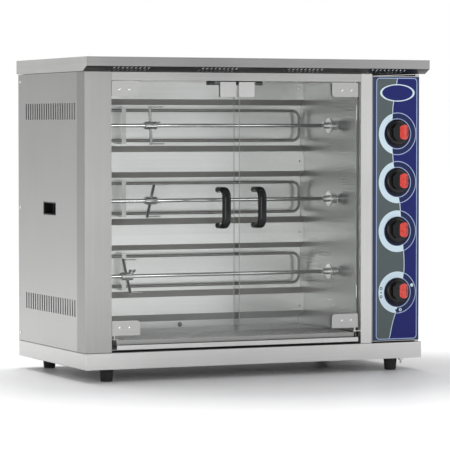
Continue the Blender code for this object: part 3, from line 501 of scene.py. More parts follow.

# ---- Roof canopy -----------------------------------------------------------------------------
# A folded stainless cap. Its front fascia has a return that slopes back under it, pierced by four
# groups of slanted slots and painted near black as shade. The corners are mitred and dressed bright.

roof_steel = brushed("roof_brushed_steel", LEVEL, 0.66, 0.32)
# a darker copy of the level steel, for the roof's fascia front and the cover's front skirt: painted
# shade
painted_shade_front_steel = brushed("painted_shade_roof_front_steel", LEVEL, 0.31, 0.36)
roof = refined("roof_canopy", roof_steel, 0.0003, 0.0012)
# the sloped return's near black steel is a painted shade
pierced, shader, place = blank("painted_shade_pierced_strip", Metallic=1.0)
haze = place.stretched(LEVEL).noise(1.0)
place.feed(
    shader, Base_Color=haze.blend((0.012, 0.012, 0.013, 1), (0.035, 0.035, 0.036, 1)),
    Roughness=haze * 0.1 + 0.3,
)
roof.data.materials.append(pierced)
roof.data.materials.append(painted_shade_front_steel)
# a darker, rougher copy for the roof's top: the darker tone is painted shade
roof.data.materials.append(brushed("painted_shade_roof_top_steel", LEVEL, 0.40, 0.48))
low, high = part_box("roof_canopy")
SLOPE_REACH = 0.030  # behind the fascia's face
# the slope under the fascia takes the near black strip, and the fascia's front and the top the darker
# steels: all painted shade
for polygon in roof.data.polygons:
    behind = polygon.center.y - low.y
    if polygon.normal.z < -0.7 and polygon.normal.y < -0.2 and behind < SLOPE_REACH:
        polygon.material_index = 1
    elif polygon.normal.y < -0.6 and behind < 0.002:
        polygon.material_index = 2
    elif polygon.normal.z > 0.9:
        polygon.material_index = 3

# each slot of the upper row has a raised lip, in a bright steel that paints the highlights on the
# punched edges
LIP_SIZE = (0.0017, 0.0010, 0.0062)
LIP_PITCH, LIPS, GROUPS = 0.0123, 9, 4
LIP_SHIFT = (0.0030, 0.0070, 0.0096)  # from the group's middle, the fascia's face and its foot
LIP_LEAN = (0, math.radians(28), 0)
lip = soften(block((0, 0, 0), LIP_SIZE), 0.0004)
lips = []
for group in range(GROUPS):
    middle = low.x + (high.x - low.x) * (group + 0.5) / GROUPS
    for step in range(LIPS):
        x = middle + (step - (LIPS - 1) / 2) * LIP_PITCH + LIP_SHIFT[0]
        lips.append(copied(lip, (x, low.y + LIP_SHIFT[1], low.z + LIP_SHIFT[2]), LIP_LEAN))
bpy.data.objects.remove(lip)
fit(merged(lips), "punched_lips", bright_zinc, "root", "casing_steel")

# ---- Top rail, fascia and printed film -------------------------------------------------------
# A narrow folded rail closes the frame over the doors. The control column's fascia carries a
# printed polyester film: grey-green and navy fields parted by a pale line, a border, a blank
# oval badge and a ring for each knob. The lowest ring has plain marks for the motor's settings.

rail_steel = brushed("rail_steel", LEVEL, 0.42, 0.36)
refined("top_front_rail", rail_steel, 0.0003, 0.0012)
refined("control_fascia", upright_steel, 0.0003, 0.0012)
low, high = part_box("control_overlay")
film, shader, place = blank("printed_film", Specular_IOR_Level=0.22)
across, up = place.part("X"), place.part("Z")
DIALS = ("upper", "middle", "lower", "motor")
KNOB_X = middle_of("knob_upper").x
KNOB_HEIGHTS = [middle_of("knob_" + name).z for name in DIALS]
RING_DROP = 0.0045  # rings are printed this far under the knobs
rings = [height - RING_DROP for height in KNOB_HEIGHTS]
GREY, NAVY, DEEP = (0.085, 0.108, 0.112, 1), (0.007, 0.012, 0.130, 1), (0.030, 0.045, 0.105, 1)
PALE, OUTLINE, INNER = (0.62, 0.76, 0.84, 1), (0.40, 0.50, 0.76, 1), (0.010, 0.018, 0.085, 1)
# the parting line's reach from the film's left edge, for shares of the film's height
PARTING = [
    (0.0127, 0.0532), (0.1066, 0.0720), (0.2407, 0.0947), (0.3589, 0.0947), (0.4738, 0.0873),
    (0.5416, 0.0805), (0.6563, 0.0663), (0.7237, 0.0606), (0.8451, 0.0606), (0.9024, 0.0634),
    (0.9900, 0.0748),
]
WIDEST = 0.15  # the reach that the ramp's white stands for
stops = [(share, (reach / WIDEST,) * 3) for share, reach in PARTING]
rise = (up - low.z) * (1 / (high.z - low.z))
reach = rise.node("ValToRGB", {"stops": stops, "smooth": "CARDINAL"}, {0: rise}) * WIDEST
beside = across - low.x - reach
right = 1 - beside.under(0.0)


def length(a, b):
    squares = a * a + b * b
    return squares.math("SQRT", squares)


def disc(x, z, radius, hole=0.0):
    """1 inside a small printed disc, or in a ring if it has a hole."""
    far = length(across - x, up - z)
    return far.under(radius) * (1 - far.under(hole)) if hole else far.under(radius)


nearest = (up - rings[0]).size()
for height in rings[1:]:
    nearest = nearest.least((up - height).size())
away = length(across - KNOB_X, nearest)
RING_OUT, RING_IN, KNOB_SHADE, STROKE = 0.0575, 0.0415, 0.0375, 0.0010
colour = right.blend(GREY, NAVY)
colour = beside.size().under(STROKE).blend(colour, PALE)
in_ring = away.under(RING_OUT)
colour = (in_ring * (1 - right)).blend(colour, PALE)
colour = (in_ring * right).blend(colour, INNER)
strokes = (away - RING_OUT).size().under(STROKE).most((away - RING_IN).size().under(STROKE))
colour = (strokes * right).blend(colour, OUTLINE)
colour = away.under(RING_IN - STROKE).blend(colour, INNER)
colour = away.under(KNOB_SHADE).blend(colour, (0.003, 0.004, 0.014, 1))
BADGE_Z, BADGE_HALF = 0.768, (0.0505, 0.0225)
badge = length((across - KNOB_X) * (1 / BADGE_HALF[0]), (up - BADGE_Z) * (1 / BADGE_HALF[1]))
colour = badge.under(1.06, 0.02).blend(colour, PALE)
colour = badge.under(0.94, 0.02).blend(colour, NAVY)
x, z = KNOB_X, rings[3]
marks = disc(x - 0.0495, z + 0.0115, 0.0042, 0.0022).most(disc(x - 0.0495, z - 0.0115, 0.0042, 0.0022))
marks = marks.most(disc(x - 0.0495, z, 0.0020)).most(disc(x - 0.003, z - 0.0495, 0.0028))
colour = marks.blend(colour, NAVY)
marks = disc(x + 0.0460, z + 0.0190, 0.0048).most(disc(x + 0.0105, z - 0.0485, 0.0044, 0.0020))
colour = marks.blend(colour, PALE)
CORNER = 0.010
BORDER = (0.0092, 0.0040)  # half of what it leaves free, across and up
BORDER_SHIFT = 0.0018
middle = (low + high) / 2
side_x = (across - middle.x - BORDER_SHIFT).size() - ((high.x - low.x) / 2 - BORDER[0] - CORNER)
side_z = (up - middle.z).size() - ((high.z - low.z) / 2 - BORDER[1] - CORNER)
edge = length(side_x.most(0.0), side_z.most(0.0)) + side_x.most(side_z).least(0.0) - CORNER
colour = edge.under(0.0).blend(DEEP, colour)
colour = edge.size().under(STROKE).blend(colour, OUTLINE)
place.feed(
    shader, Base_Color=colour, Roughness=place.noise(25.0) * 0.12 + 0.32,
    Normal=place.noise(500.0).bump(0.00002, 0.3),
)
refined("control_overlay", film, 0.0001)

# ---- Chamber ---------------------------------------------------------------------------------
# Liner of polished stainless sheet: a back wall folded into three reflector channels and a foot
# that slopes back, two side walls, and a ceiling. The channels' slopes and the right wall take
# darker steels, painted shade, and the foot's slope a very light steel, painted light.

liner_steel = brushed("polished_liner_steel", LEVEL, 0.78, 0.32, 0.000008)
turned_steel = brushed("turned_bright_steel", (3, 400, 400), 0.86, 0.34, 0.00001)
# a darker copy of the liner steel, for the chamber's right wall and the tray's floor: painted shade
painted_shade_liner = brushed("painted_shade_liner_steel", LEVEL, 0.40, 0.30, 0.000012)
painted_shade_slope_steel = brushed("painted_shade_channel_steel", LEVEL, 0.66, 0.40, 0.00002, (1.0, 0.97, 0.93))
painted_light_foot_steel = brushed("painted_light_foot_liner_steel", LEVEL, 1.0, 0.55, 0.000008)
back_wall = refined("chamber_back_wall", liner_steel, 0.0003, 0.001)
back_wall.data.materials.append(painted_shade_slope_steel)
back_wall.data.materials.append(painted_light_foot_steel)
low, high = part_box("chamber_back_wall")
FOOT_SLOPE_TOP = 0.16
# the channels' slopes take the darker painted shade steel, and the foot's slope the very light painted
# light steel
for polygon in back_wall.data.polygons:
    if abs(polygon.normal.z) > 0.3 and polygon.center.y > low.y + 0.002:
        polygon.material_index = 1 if polygon.center.z > FOOT_SLOPE_TOP else 2
refined("chamber_left_wall", liner_steel, 0.0002, 0.001)
# the right wall in the darker liner steel: painted shade
refined("chamber_right_wall", painted_shade_liner, 0.0002, 0.001)
refined("chamber_ceiling", liner_steel, 0.0002, 0.001)

GROMMET_SPOT = (-0.063, high.y - 0.0012, 0.1165)
grommet = [
    (0.0020, 0.0), (0.0062, 0.0), (0.0066, 0.0006), (0.0058, 0.0012), (0.0044, 0.0013),
    (0.0040, 0.0004),
]
grommet = turned(grommet, GROMMET_SPOT, FRONT_TURN, 32)
fit(grommet, "drain_grommet", black_moulding, "root", "black_plastic")
LINER_SCREW_INSET, LINER_SCREW_HEIGHTS = 0.014, (0.1625, 0.3735, 0.5765, 0.785)
heads = [
    screw_head((x, low.y, z), FRONT_TURN, 0.0030, 0.0016)
    for x in (low.x + LINER_SCREW_INSET, high.x - LINER_SCREW_INSET) for z in LINER_SCREW_HEIGHTS
]
fit(merged(heads), "liner_screws", bright_zinc, "root", "liner_steel")

# ---- Heating elements and their brackets -----------------------------------------------------
# Each element is a hairpin of nickel-steel tube, 8 mm thick, lying in its channel. A ceramic
# bush and a threaded stud end each leg beyond the left wall, and a folded strap holds both legs.

sheath = mottled(
    "element_sheath", (0.16, 0.15, 0.145), (0.34, 0.33, 0.32), tint=(45, 4),
    shine=(0.28, 0.2, 45, 4), relief=(0.00003, 0.4, 900), Metallic=1.0,
)
steatite = mottled(
    "steatite", (0.62, 0.59, 0.52), (0.78, 0.76, 0.70), tint=(250, 3),
    shine=(0.45, 0.2, 250, 3), relief=(0.00006, 0.4, 250, 3), Specular_IOR_Level=0.35,
)


def bent_rod(route, radius, flat=0.0, rings=6):
    """A rod swept through points and made a mesh. flat is half the straight part of its section."""
    curve = bpy.data.curves.new("rod", "CURVE")
    curve.dimensions, curve.bevel_depth, curve.bevel_resolution = "3D", radius, rings
    curve.extrude, curve.use_fill_caps = flat, True
    spline = curve.splines.new("POLY")
    spline.points.add(len(route) - 1)
    for point, spot in zip(spline.points, route):
        point.co, point.tilt = (*spot, 1), math.pi / 2
    rod = bpy.data.objects.new("rod", curve)
    bpy.context.scene.collection.objects.link(rod)
    alone(rod)
    bpy.ops.object.convert(target="MESH")
    edit(rod)
    bpy.ops.mesh.remove_doubles(threshold=0.00001)
    bpy.ops.mesh.normals_make_consistent(inside=False)
    bpy.ops.object.mode_set(mode="OBJECT")
    return smoothed(rod, 50)


def bend(middle, radius, start, end, steps=10):
    """Points round a bend, its angles in degrees."""
    for step in range(steps + 1):
        angle = math.radians(start + (end - start) * step / steps)
        yield middle[0] + radius * math.cos(angle), middle[1] + radius * math.sin(angle)


LEVELS = ("upper", "middle", "lower")
BUSH_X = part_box("chamber_left_wall")[0].x - 0.006
BUSH_RINGS = [
    (0.0050, -0.012), (0.0062, -0.011), (0.0062, -0.002), (0.0050, -0.001), (0.0042, -0.001),
]
STUD_THREADS = [(0.0018 + 0.0003 * (step % 2), -0.0010 + 0.0006 * step) for step in range(7)]
STUD_PAST = 0.0026  # past the end of the element's leg
for level in LEVELS:
    low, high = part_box("heater_" + level)
    thick = (high.y - low.y) / 2
    axis, foot, head = (low.y + high.y) / 2, low.z + thick, high.z - thick
    turn, start, end = (head - foot) / 4, low.x + 0.002, high.x - thick
    route = [(start, head), *bend((end - turn, head - turn), turn, 90, 0)]
    route += [*bend((end - turn, foot + turn), turn, 0, -90), (start, foot)]
    rod = bent_rod([(x, axis, z) for x, z in route], thick)
    fit(rod, "element_" + level, sheath, "root", "dark_steel", "heater_" + level)
    bushes, studs = [], []
    for height in (foot, head):
        bushes.append(turned(BUSH_RINGS, (BUSH_X, axis, height), RIGHT_TURN, 24))
        studs.append(turned(STUD_THREADS, (low.x - STUD_PAST, axis, height), RIGHT_TURN, 12))
    fit(merged(bushes), "element_bushes_" + level, steatite, "root", "terminal_ceramic")
    fit(merged(studs), "element_studs_" + level, bright_zinc, "root", "liner_steel")
    refined("heater_bracket_" + level, level_steel, 0.0003, 0.0008)

# ---- Spit rests ------------------------------------------------------------------------------
# A rail of 2 mm stainless plate, notched for the three spits and bent back to the left wall,
# where three rivets hold it.

refined("spit_rest_rail", upright_steel, 0.0004, 0.0014)
low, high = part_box("spit_rest_rail")
REST_PLATE, RIVET_INSET = 0.002, (0.010, 0.020)  # insets from the rear edge and from each end
rivet = [(0.0036, 0.0), (0.0034, 0.0009), (0.0022, 0.0016), (0.0008, 0.0018)]
rivets = [
    turned(rivet, (low.x + REST_PLATE, high.y - RIVET_INSET[0], z), RIGHT_TURN, 20)
    for z in (low.z + RIVET_INSET[1], (low.z + high.z) / 2, high.z - RIVET_INSET[1])
]
fit(merged(rivets), "rest_rivets", bright_zinc, "root", "liner_steel")

# ---- Spits, forks and wing screws ------------------------------------------------------------
# Chromed rods of 10 mm, each pointed at its free end. A fork with a flat bar and two pointed
# prongs slides on the rod by its collar, and a wing screw locks it.

chrome = mottled(
    "chromed_steel", (0.62, 0.62, 0.61), (0.86, 0.86, 0.85), tint=(55, 3),
    shine=(0.10, 0.10, 55, 3), relief=(0.00001, 0.3, 600), Metallic=1.0,
)
ORIGIN = (0, 0, 0)
FORK_TURNS = (-6, 29, -31)
WING_TURN, WING_SHIFT = 75, 0.010
COLLAR_R, COLLAR_HALF, COLLAR_ROUND = 0.0109, 0.017, 0.001
PRONG_R, PRONG_REACH, PRONG_BEND, PRONG_L = 0.0019, 0.050, 0.006, 0.0340
BAR_SIZE, BAR_MIDDLE, BAR_ROOT = (0.0080, 0.0038, 0.0440), 0.0315, 0.0095
PRONG_TIP = [(PRONG_R, PRONG_L), (0.0013, 0.0372), (0.0005, 0.0399)]
WING_THREADS = [(0.0024 - 0.0002 * (step % 2), 0.0054 + 0.0004 * step) for step in range(24)]
WING_HUB = [(0.0036, 0.0114), (0.0040, 0.0120), (0.0040, 0.0180), (0.0030, 0.0190)]
WING_EAR = [(0.0046, -0.0012), (0.0052, -0.0006), (0.0052, 0.0006), (0.0046, 0.0012)]
EAR_SHAPE, EAR_SPOT, EAR_LEAN = (0.95, 1, 1.35), (0.0052, 0.0200), math.radians(24)
for level, fork_turn in zip(LEVELS, FORK_TURNS):
    low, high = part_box("spit_rod_" + level)
    radius, y, z = (high.y - low.y) / 2, (low.y + high.y) / 2, (low.z + high.z) / 2
    rings = [
        (0.0011, low.x), (0.0016, low.x + 0.0003), (radius - 0.0004, low.x + 0.0038),
        (radius, low.x + 0.0044), (radius, high.x - 0.0012), (radius - 0.0008, high.x),
    ]
    rod = turned(rings, (0, y, z), RIGHT_TURN, 40)
    fit(rod, "chromed_spit_" + level, chrome, "spit_" + level, "chromed_wire", "spit_rod_" + level)

    bore, half, rounded = radius + 0.0004, COLLAR_HALF, COLLAR_HALF - COLLAR_ROUND
    collar = [
        (bore, -half), (COLLAR_R - COLLAR_ROUND, -half), (COLLAR_R, -rounded), (COLLAR_R, rounded),
        (COLLAR_R - COLLAR_ROUND, half), (bore, half), (bore, -half),
    ]
    pieces = [turned(collar, ORIGIN, RIGHT_TURN, 40)]
    straight = PRONG_REACH - PRONG_BEND
    for way in (-1, 1):
        route = [(0, 0, way * BAR_ROOT), (0, 0, way * straight)]
        for x, rise in [*bend(ORIGIN, PRONG_BEND, 180, 90, 6)][1:]:
            route.append((PRONG_BEND + x, 0, way * (straight + rise)))
        route.append((PRONG_L, 0, way * PRONG_REACH))
        pieces.append(bent_rod(route, PRONG_R, rings=5))
        pieces.append(turned(PRONG_TIP, (0, 0, way * PRONG_REACH), RIGHT_TURN, 14))
        pieces.append(soften(block((0, 0, way * BAR_MIDDLE), BAR_SIZE), 0.0012, 3))
    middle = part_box("spit_fork_" + level)[0].x + COLLAR_HALF
    fork = placed(merged(pieces), (middle, y, z), (math.radians(fork_turn), 0, 0))
    fit(fork, "chromed_fork_" + level, chrome, "fork_" + level, "chromed_wire", "spit_fork_" + level)

    pieces = [turned(WING_THREADS, ORIGIN, steps=20), turned(WING_HUB, ORIGIN, steps=24)]
    for way in (-1, 1):
        ear = turned(WING_EAR, ORIGIN, FRONT_TURN, 24)
        ear.scale = EAR_SHAPE
        pieces.append(placed(ear, (way * EAR_SPOT[0], 0, EAR_SPOT[1]), (0, way * EAR_LEAN, 0)))
    spot, turn = (middle + WING_SHIFT, y, z), (math.radians(fork_turn + WING_TURN), 0, 0)
    screw = placed(merged(pieces), spot, turn)
    fit(screw, "wing_screw_" + level, chrome, "wing_" + level, "chromed_wire", "fork_screw_" + level)

# ---- Drive heads, chain and motor ------------------------------------------------------------
# Turned stainless heads with a square-shouldered socket, a disc and three cooling fins, each on
# a shaft with a chain sprocket behind the drive-side wall. One roller chain runs round them and
# a geared motor's sprocket at the foot of the control column.

SPROCKET_X = middle_of("drive_chain").x
TEETH, TOOTH_R, TOOTH_ROOT, SPROCKET_T = 16, 0.0226, 0.86, 0.0034


def sprocket(y, z):
    """A plain sprocket, its teeth drawn out of every other pair of points round its rim."""
    bpy.ops.object.select_all(action="DESELECT")
    bpy.ops.mesh.primitive_circle_add(
        vertices=TEETH * 4, radius=TOOTH_R, fill_type="NGON", location=(0, 0, -SPROCKET_T / 2)
    )
    wheel = bpy.context.active_object
    bpy.ops.object.transform_apply(location=True)
    for vertex in wheel.data.vertices:
        if vertex.index % 4 > 1:
            vertex.co.xy *= TOOTH_ROOT
    edit(wheel)
    bpy.ops.mesh.extrude_region_move(TRANSFORM_OT_translate={"value": (0, 0, SPROCKET_T)})
    bpy.ops.mesh.select_all(action="SELECT")
    bpy.ops.mesh.normals_make_consistent(inside=False)
    bpy.ops.object.mode_set(mode="OBJECT")
    return placed(soften(wheel, 0.0003, 1), (SPROCKET_X, y, z), RIGHT_TURN)


SOCKET_L, FINS, FIN_PITCH, FIN_T = 0.018, 3, 0.006, 0.003
NECK_R, SHAFT_R, BORE_R, NOSE_R, FIN_R, PLATE_R = 0.0065, 0.0050, 0.0054, 0.0090, 0.0140, 0.0215
for level in LEVELS:
    low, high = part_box("drive_hub_" + level)
    y, z = (low.y + high.y) / 2, (low.z + high.z) / 2
    mouth, plate = low.x, low.x + SOCKET_L
    rings = [
        (BORE_R, plate - 0.0006), (BORE_R, mouth + 0.0005), (BORE_R + 0.0006, mouth),
        (NOSE_R - 0.0008, mouth), (NOSE_R, mouth + 0.0008), (NOSE_R, plate),
        (PLATE_R - 0.0005, plate), (PLATE_R, plate + 0.0005), (PLATE_R, plate + 0.0025),
        (PLATE_R - 0.0005, plate + FIN_T), (NECK_R, plate + FIN_T),
    ]
    for step in range(1, FINS + 1):
        foot = plate + FIN_PITCH * step
        after = SHAFT_R if step == FINS else NECK_R
        rings += [
            (NECK_R, foot), (FIN_R - 0.0004, foot), (FIN_R, foot + 0.0004), (FIN_R, foot + 0.0026),
            (FIN_R - 0.0004, foot + FIN_T), (after, foot + FIN_T),
        ]
    rings += [(SHAFT_R, high.x - 0.0005), (SHAFT_R - 0.0005, high.x)]
    head = merged([turned(rings, (0, y, z), RIGHT_TURN, 56), sprocket(y, z)])
    node = "drive_hub_" + level
    fit(head, "drive_head_" + level, turned_steel, "drive_" + level, "liner_steel", node)

low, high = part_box("motor_sprocket")
motor_y, motor_z = (low.y + high.y) / 2, (low.z + high.z) / 2
rings = [(SHAFT_R - 0.0005, low.x), (SHAFT_R, low.x + 0.0005), (SHAFT_R, high.x)]
wheel = merged([turned(rings, (0, motor_y, motor_z), RIGHT_TURN, 32), sprocket(motor_y, motor_z)])
fit(wheel, "driving_sprocket", level_steel, "motor_shaft", "casing_steel", "motor_sprocket")

oiled_steel = mottled(
    "oiled_chain_steel", (0.06, 0.055, 0.05), (0.15, 0.145, 0.14), tint=(120, 3),
    shine=(0.22, 0.25, 120, 3), relief=(0.00003, 0.3, 900), Metallic=1.0,
)
low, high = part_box("drive_chain")
half_width = (high.y - low.y) / 2
run_y, run_top, run_r = (low.y + high.y) / 2, high.z - half_width, half_width - 0.00225
run = run_top - motor_z
round_length = 2 * run + math.tau * run_r
LINK_PITCH = 0.0095
LINK_PLATE, LINK_HALF, LINK_PIN = (0.0008, 0.0040, 0.0124), 0.0024, (0, 0, 0.0047)
LINKS = 2 * round(round_length / LINK_PITCH / 2)
pieces = [soften(block((side * LINK_HALF, 0, 0), LINK_PLATE), 0.0003, 1) for side in (-1, 1)]
pieces.append(turned([(0.0019, -0.0018), (0.0019, 0.0018)], LINK_PIN, RIGHT_TURN, 10))
link = merged(pieces)
links = []
for step in range(LINKS):
    along = round_length * step / LINKS
    if along < run:
        spot, lean = (run_y - run_r, motor_z + along), 0
    elif along < run + math.pi * run_r:
        lean = (along - run) / run_r
        spot = (run_y - run_r * math.cos(lean), run_top + run_r * math.sin(lean))
    elif along < 2 * run + math.pi * run_r:
        spot, lean = (run_y + run_r, run_top - (along - run - math.pi * run_r)), math.pi
    else:
        lean = math.pi + (along - 2 * run - math.pi * run_r) / run_r
        spot = (run_y - run_r * math.cos(lean), motor_z + run_r * math.sin(lean))
    links.append(copied(link, (SPROCKET_X, *spot), (-lean, 0, 0)))
bpy.data.objects.remove(link)
fit(merged(links), "roller_chain", oiled_steel, "root", "dark_steel", "drive_chain")

enamel = mottled(
    "motor_enamel", (0.045, 0.055, 0.065), (0.075, 0.088, 0.100), tint=(18,),
    shine=(0.36, 0.2, 320, 3), relief=(0.00008, 0.5, 320, 3),
)
refined("gear_motor", enamel, 0.0008)
low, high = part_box("gear_motor")
CAN_R, RIB_R, RIBS, RIB_PITCH = 0.0326, 0.0336, 8, 0.008
can = [(0.0320, high.x - 0.072)]
for step in range(RIBS):
    at = high.x - 0.066 + RIB_PITCH * step
    can += [(CAN_R, at), (RIB_R, at + 0.0003), (RIB_R, at + 0.0030), (CAN_R, at + 0.0033)]
can += [(CAN_R, high.x - 0.003), (0.0300, high.x - 0.0004), (0.0100, high.x)]
can = turned(can, (0, motor_y, motor_z), RIGHT_TURN)
fit(can, "motor_can", enamel, "root", "motor_paint")
corners = [(low.x, motor_y + a * 0.024, motor_z + b * 0.038) for a in (-1, 1) for b in (-1, 1)]
heads = [screw_head(spot, LEFT_TURN, 0.0034, 0.0020) for spot in corners]
fit(merged(heads), "gearbox_screws", bright_zinc, "root", "liner_steel")

# ---- Doors -----------------------------------------------------------------------------------
# Two frameless doors of 5 mm tempered glass with ground edges. Each turns on pins held by
# stainless clamps at its outer corners, and has a folded strike plate at its inner top corner.

glass, _, place = blank("tempered_glass")
tree = glass.node_tree
clear = Wire(tree).node("BsdfTransparent", None, {"Color": (0.962, 0.970, 0.966, 1)})
gloss = Wire(tree).node("BsdfGlossy", None, {"Color": (1, 1, 1, 1), "Roughness": 0.015})
glance = Wire(tree).node("Fresnel", None, {"IOR": 1.38})
smears = place.noise(7.0, 4.0)
haze = Wire(tree).node("BsdfDiffuse", None, {"Color": (0.85, 0.87, 0.87, 1)})
through = Wire(tree).node("MixShader", None, {"Fac": glance, 1: clear, 2: gloss})
dusty = Wire(tree).node("MixShader", None, {"Fac": smears * 0.03, 1: through, 2: haze})
tree.links.new(dusty.socket, tree.nodes["Material Output"].inputs["Surface"])
ground_edge, shader, place = blank("ground_glass_edge")
place.feed(
    shader, Base_Color=place.noise(60.0).blend((0.34, 0.40, 0.38, 1), (0.52, 0.60, 0.57, 1)),
    Roughness=place.noise(300.0) * 0.2 + 0.25,
)
clamp_steel = brushed("clamp_steel", LEVEL, 0.42, 0.42)
SCREWS_ON = ((0.022, 0.018), (0.050, 0.018))  # from the door's outer edge and from its end
for side, inward in (("left", 1), ("right", -1)):
    body = side + "_door"
    pane = refined(side + "_door_glass", glass, 0.0007)
    pane.data.materials.append(ground_edge)
    for polygon in pane.data.polygons:
        polygon.material_index = 0 if abs(polygon.normal.y) > 0.9 else 1
    low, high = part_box(side + "_door_glass")
    outer = low.x if side == "left" else high.x
    heads = []
    for end, edge, way in (("top", high.z, -1), ("bottom", low.z, 1)):
        node = f"{side}_hinge_{end}"
        refined(node, clamp_steel, 0.0004)
        clamp_low, clamp_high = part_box(node)
        for inset, rise in SCREWS_ON:
            x, z = outer + inward * inset, edge + way * rise
            heads.append(screw_head((x, clamp_low.y, z), FRONT_TURN, 0.0034, 0.0014))
            heads.append(screw_head((x, clamp_high.y, z), BACK_TURN, 0.0034, 0.0014))
    refined(side + "_strike_plate", pale_steel, 0.0005, 0.0012)
    fit(merged(heads), side + "_clamp_screws", bright_zinc, body, "casing_steel")

# ---- Door handles ----------------------------------------------------------------------------
# D-shaped bars of black moulded nylon with an oval section. Each is held by two screws through
# the glass, with a steel washer under each screw.

gloss_black = mottled(
    "gloss_black_moulding", (0.004, 0.004, 0.005), (0.011, 0.011, 0.012), tint=(40,),
    shine=(0.10, 0.08, 800), relief=(0.00002, 0.25, 800), Specular_IOR_Level=0.28,
)
HANDLE_PITCH, HANDLE_BEND, HANDLE_FLAT, HANDLE_FOOT = 0.096, 0.022, 0.0040, 0.012
WASHER_T = 0.0010
WASHER = [(0.0045, 0.0), (0.0078, 0.0), (0.0078, 0.0007), (0.0074, WASHER_T), (0.0045, WASHER_T)]
for side in ("left", "right"):
    low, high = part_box(side + "_handle")
    body, x, radius = side + "_door", (low.x + high.x) / 2, (high.z - low.z - HANDLE_PITCH) / 2
    foot, head, centre = low.z + radius, high.z - radius, low.y + radius + HANDLE_BEND
    route = [(high.y, foot), (high.y - HANDLE_FOOT, foot)]
    route += bend((centre, foot + HANDLE_BEND), HANDLE_BEND, 270, 180, 12)
    route += bend((centre, head - HANDLE_BEND), HANDLE_BEND, 180, 90, 12)
    route += [(high.y - HANDLE_FOOT, head), (high.y, head)]
    handle = bent_rod([(x, y, z) for y, z in route], radius, HANDLE_FLAT, 8)
    fit(handle, side + "_nylon_handle", gloss_black, body, "black_plastic", side + "_handle")
    pane_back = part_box(side + "_door_glass")[1].y
    pieces = []
    for z in (foot, head):
        pieces.append(turned(WASHER, (x, pane_back, z), BACK_TURN, 32))
        pieces.append(screw_head((x, pane_back + WASHER_T, z), BACK_TURN, 0.0042, 0.0024))
    fit(merged(pieces), side + "_handle_screws", bright_zinc, body, "chromed_wire")

# ---- Magnetic catch --------------------------------------------------------------------------
# A black strip under the top rail with two magnets behind steel pole faces, one for each door's
# strike plate.

matt_black = mottled(
    "matt_black_housing", (0.012, 0.012, 0.012), (0.028, 0.028, 0.028), tint=(500, 3),
    shine=(0.45, 0.2, 500, 3), relief=(0.00005, 0.5, 500, 3), Specular_IOR_Level=0.3,
)
refined("magnetic_catch", matt_black, 0.0008)
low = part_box("magnetic_catch")[0]
POLE_SIZE, POLE_DEPTH = (0.040, 0.0020, 0.0018), 0.0008
faces = [
    soften(block((x, low.y + POLE_DEPTH, low.z + rise), POLE_SIZE), 0.0003, 1)
    for x in (-0.100, -0.018) for rise in (0.0030, 0.0080)
]
fit(merged(faces), "catch_pole_faces", bright_zinc, "root", "dark_steel")

# ---- Drip tray and grease grid ---------------------------------------------------------------
# A shallow polished tray slides out under the doors. A perforated stainless cover with turned
# down sides lies in it, so that dripping fat drains away.

tray = refined("drip_tray", pale_steel, 0.0003, 0.0010)
# the tray's broad floor takes the darker liner steel: painted shade
tray.data.materials.append(painted_shade_liner)
for polygon in tray.data.polygons:
    polygon.material_index = 1 if polygon.normal.z > 0.9 and polygon.area > 0.01 else 0
low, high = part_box("grease_grid")
COLUMNS, ROWS = 34, 18
HOLE_MARGIN, HOLE_CORNER = 0.0038, 0.0036
PLATE_T = 0.0012
EDGE = 0.008  # plain margin round the holes
width, depth = high.x - low.x, high.y - low.y
middle = ((low.x + high.x) / 2, (low.y + high.y) / 2, high.z)
bpy.ops.object.select_all(action="DESELECT")
bpy.ops.mesh.primitive_grid_add(x_subdivisions=COLUMNS, y_subdivisions=ROWS, size=1, location=middle)
grid = bpy.context.active_object
grid.scale = (width - 2 * EDGE, depth - 2 * EDGE, 1)
bpy.ops.object.transform_apply(location=True, scale=True)
edit(grid)
bpy.ops.mesh.inset(thickness=HOLE_MARGIN, use_individual=True)
bpy.ops.mesh.bevel(offset=HOLE_CORNER, affect="VERTICES")
bpy.ops.object.mode_set(mode="OBJECT")
picked(grid, "polygons", lambda polygon: len(polygon.vertices) == 8 and polygon.area > 0.0001)
bpy.ops.mesh.delete(type="FACE")
bpy.ops.object.mode_set(mode="OBJECT")


def on_rim(edge, inset):
    """Whether an edge of the cover lies along one of its sides, or that far inside it."""
    ends = [grid.data.vertices[index].co for index in edge.vertices]
    return any(
        all(abs(end[axis] - side) < 0.0001 for end in ends)
        for axis in (0, 1) for side in (low[axis] + inset, high[axis] - inset)
    )


# the holes' outline is drawn out to the plain margin, and the margin is then turned down
picked(grid, "edges", lambda edge: on_rim(edge, EDGE))
bpy.ops.mesh.select_mode(type="EDGE")
bpy.ops.mesh.extrude_region_move(TRANSFORM_OT_translate={"value": (0, 0, 0)})
share = (width / (width - 2 * EDGE), depth / (depth - 2 * EDGE), 1)
bpy.ops.transform.resize(value=share, center_override=middle)
bpy.ops.object.mode_set(mode="OBJECT")
picked(grid, "edges", lambda edge: on_rim(edge, 0.0), "EDGE")
DOWN = (0, 0, low.z - high.z + 0.0006)
bpy.ops.mesh.extrude_region_move(TRANSFORM_OT_translate={"value": DOWN})
bpy.ops.mesh.select_mode(type="VERT")
bpy.ops.mesh.select_all(action="SELECT")
bpy.ops.mesh.remove_doubles(threshold=0.00001)
bpy.ops.mesh.normals_make_consistent(inside=False)
bpy.ops.object.mode_set(mode="OBJECT")
if max(grid.data.polygons, key=lambda face: face.area).normal.z < 0:
    grid.data.flip_normals()
applied(grid, "SOLIDIFY", thickness=PLATE_T, offset=-1)
cover_steel = brushed("cover_steel", (300, 3, 300), 0.98, 0.46)
fit(smoothed(grid), "perforated_cover", cover_steel, "tray", "casing_steel", "grease_grid")
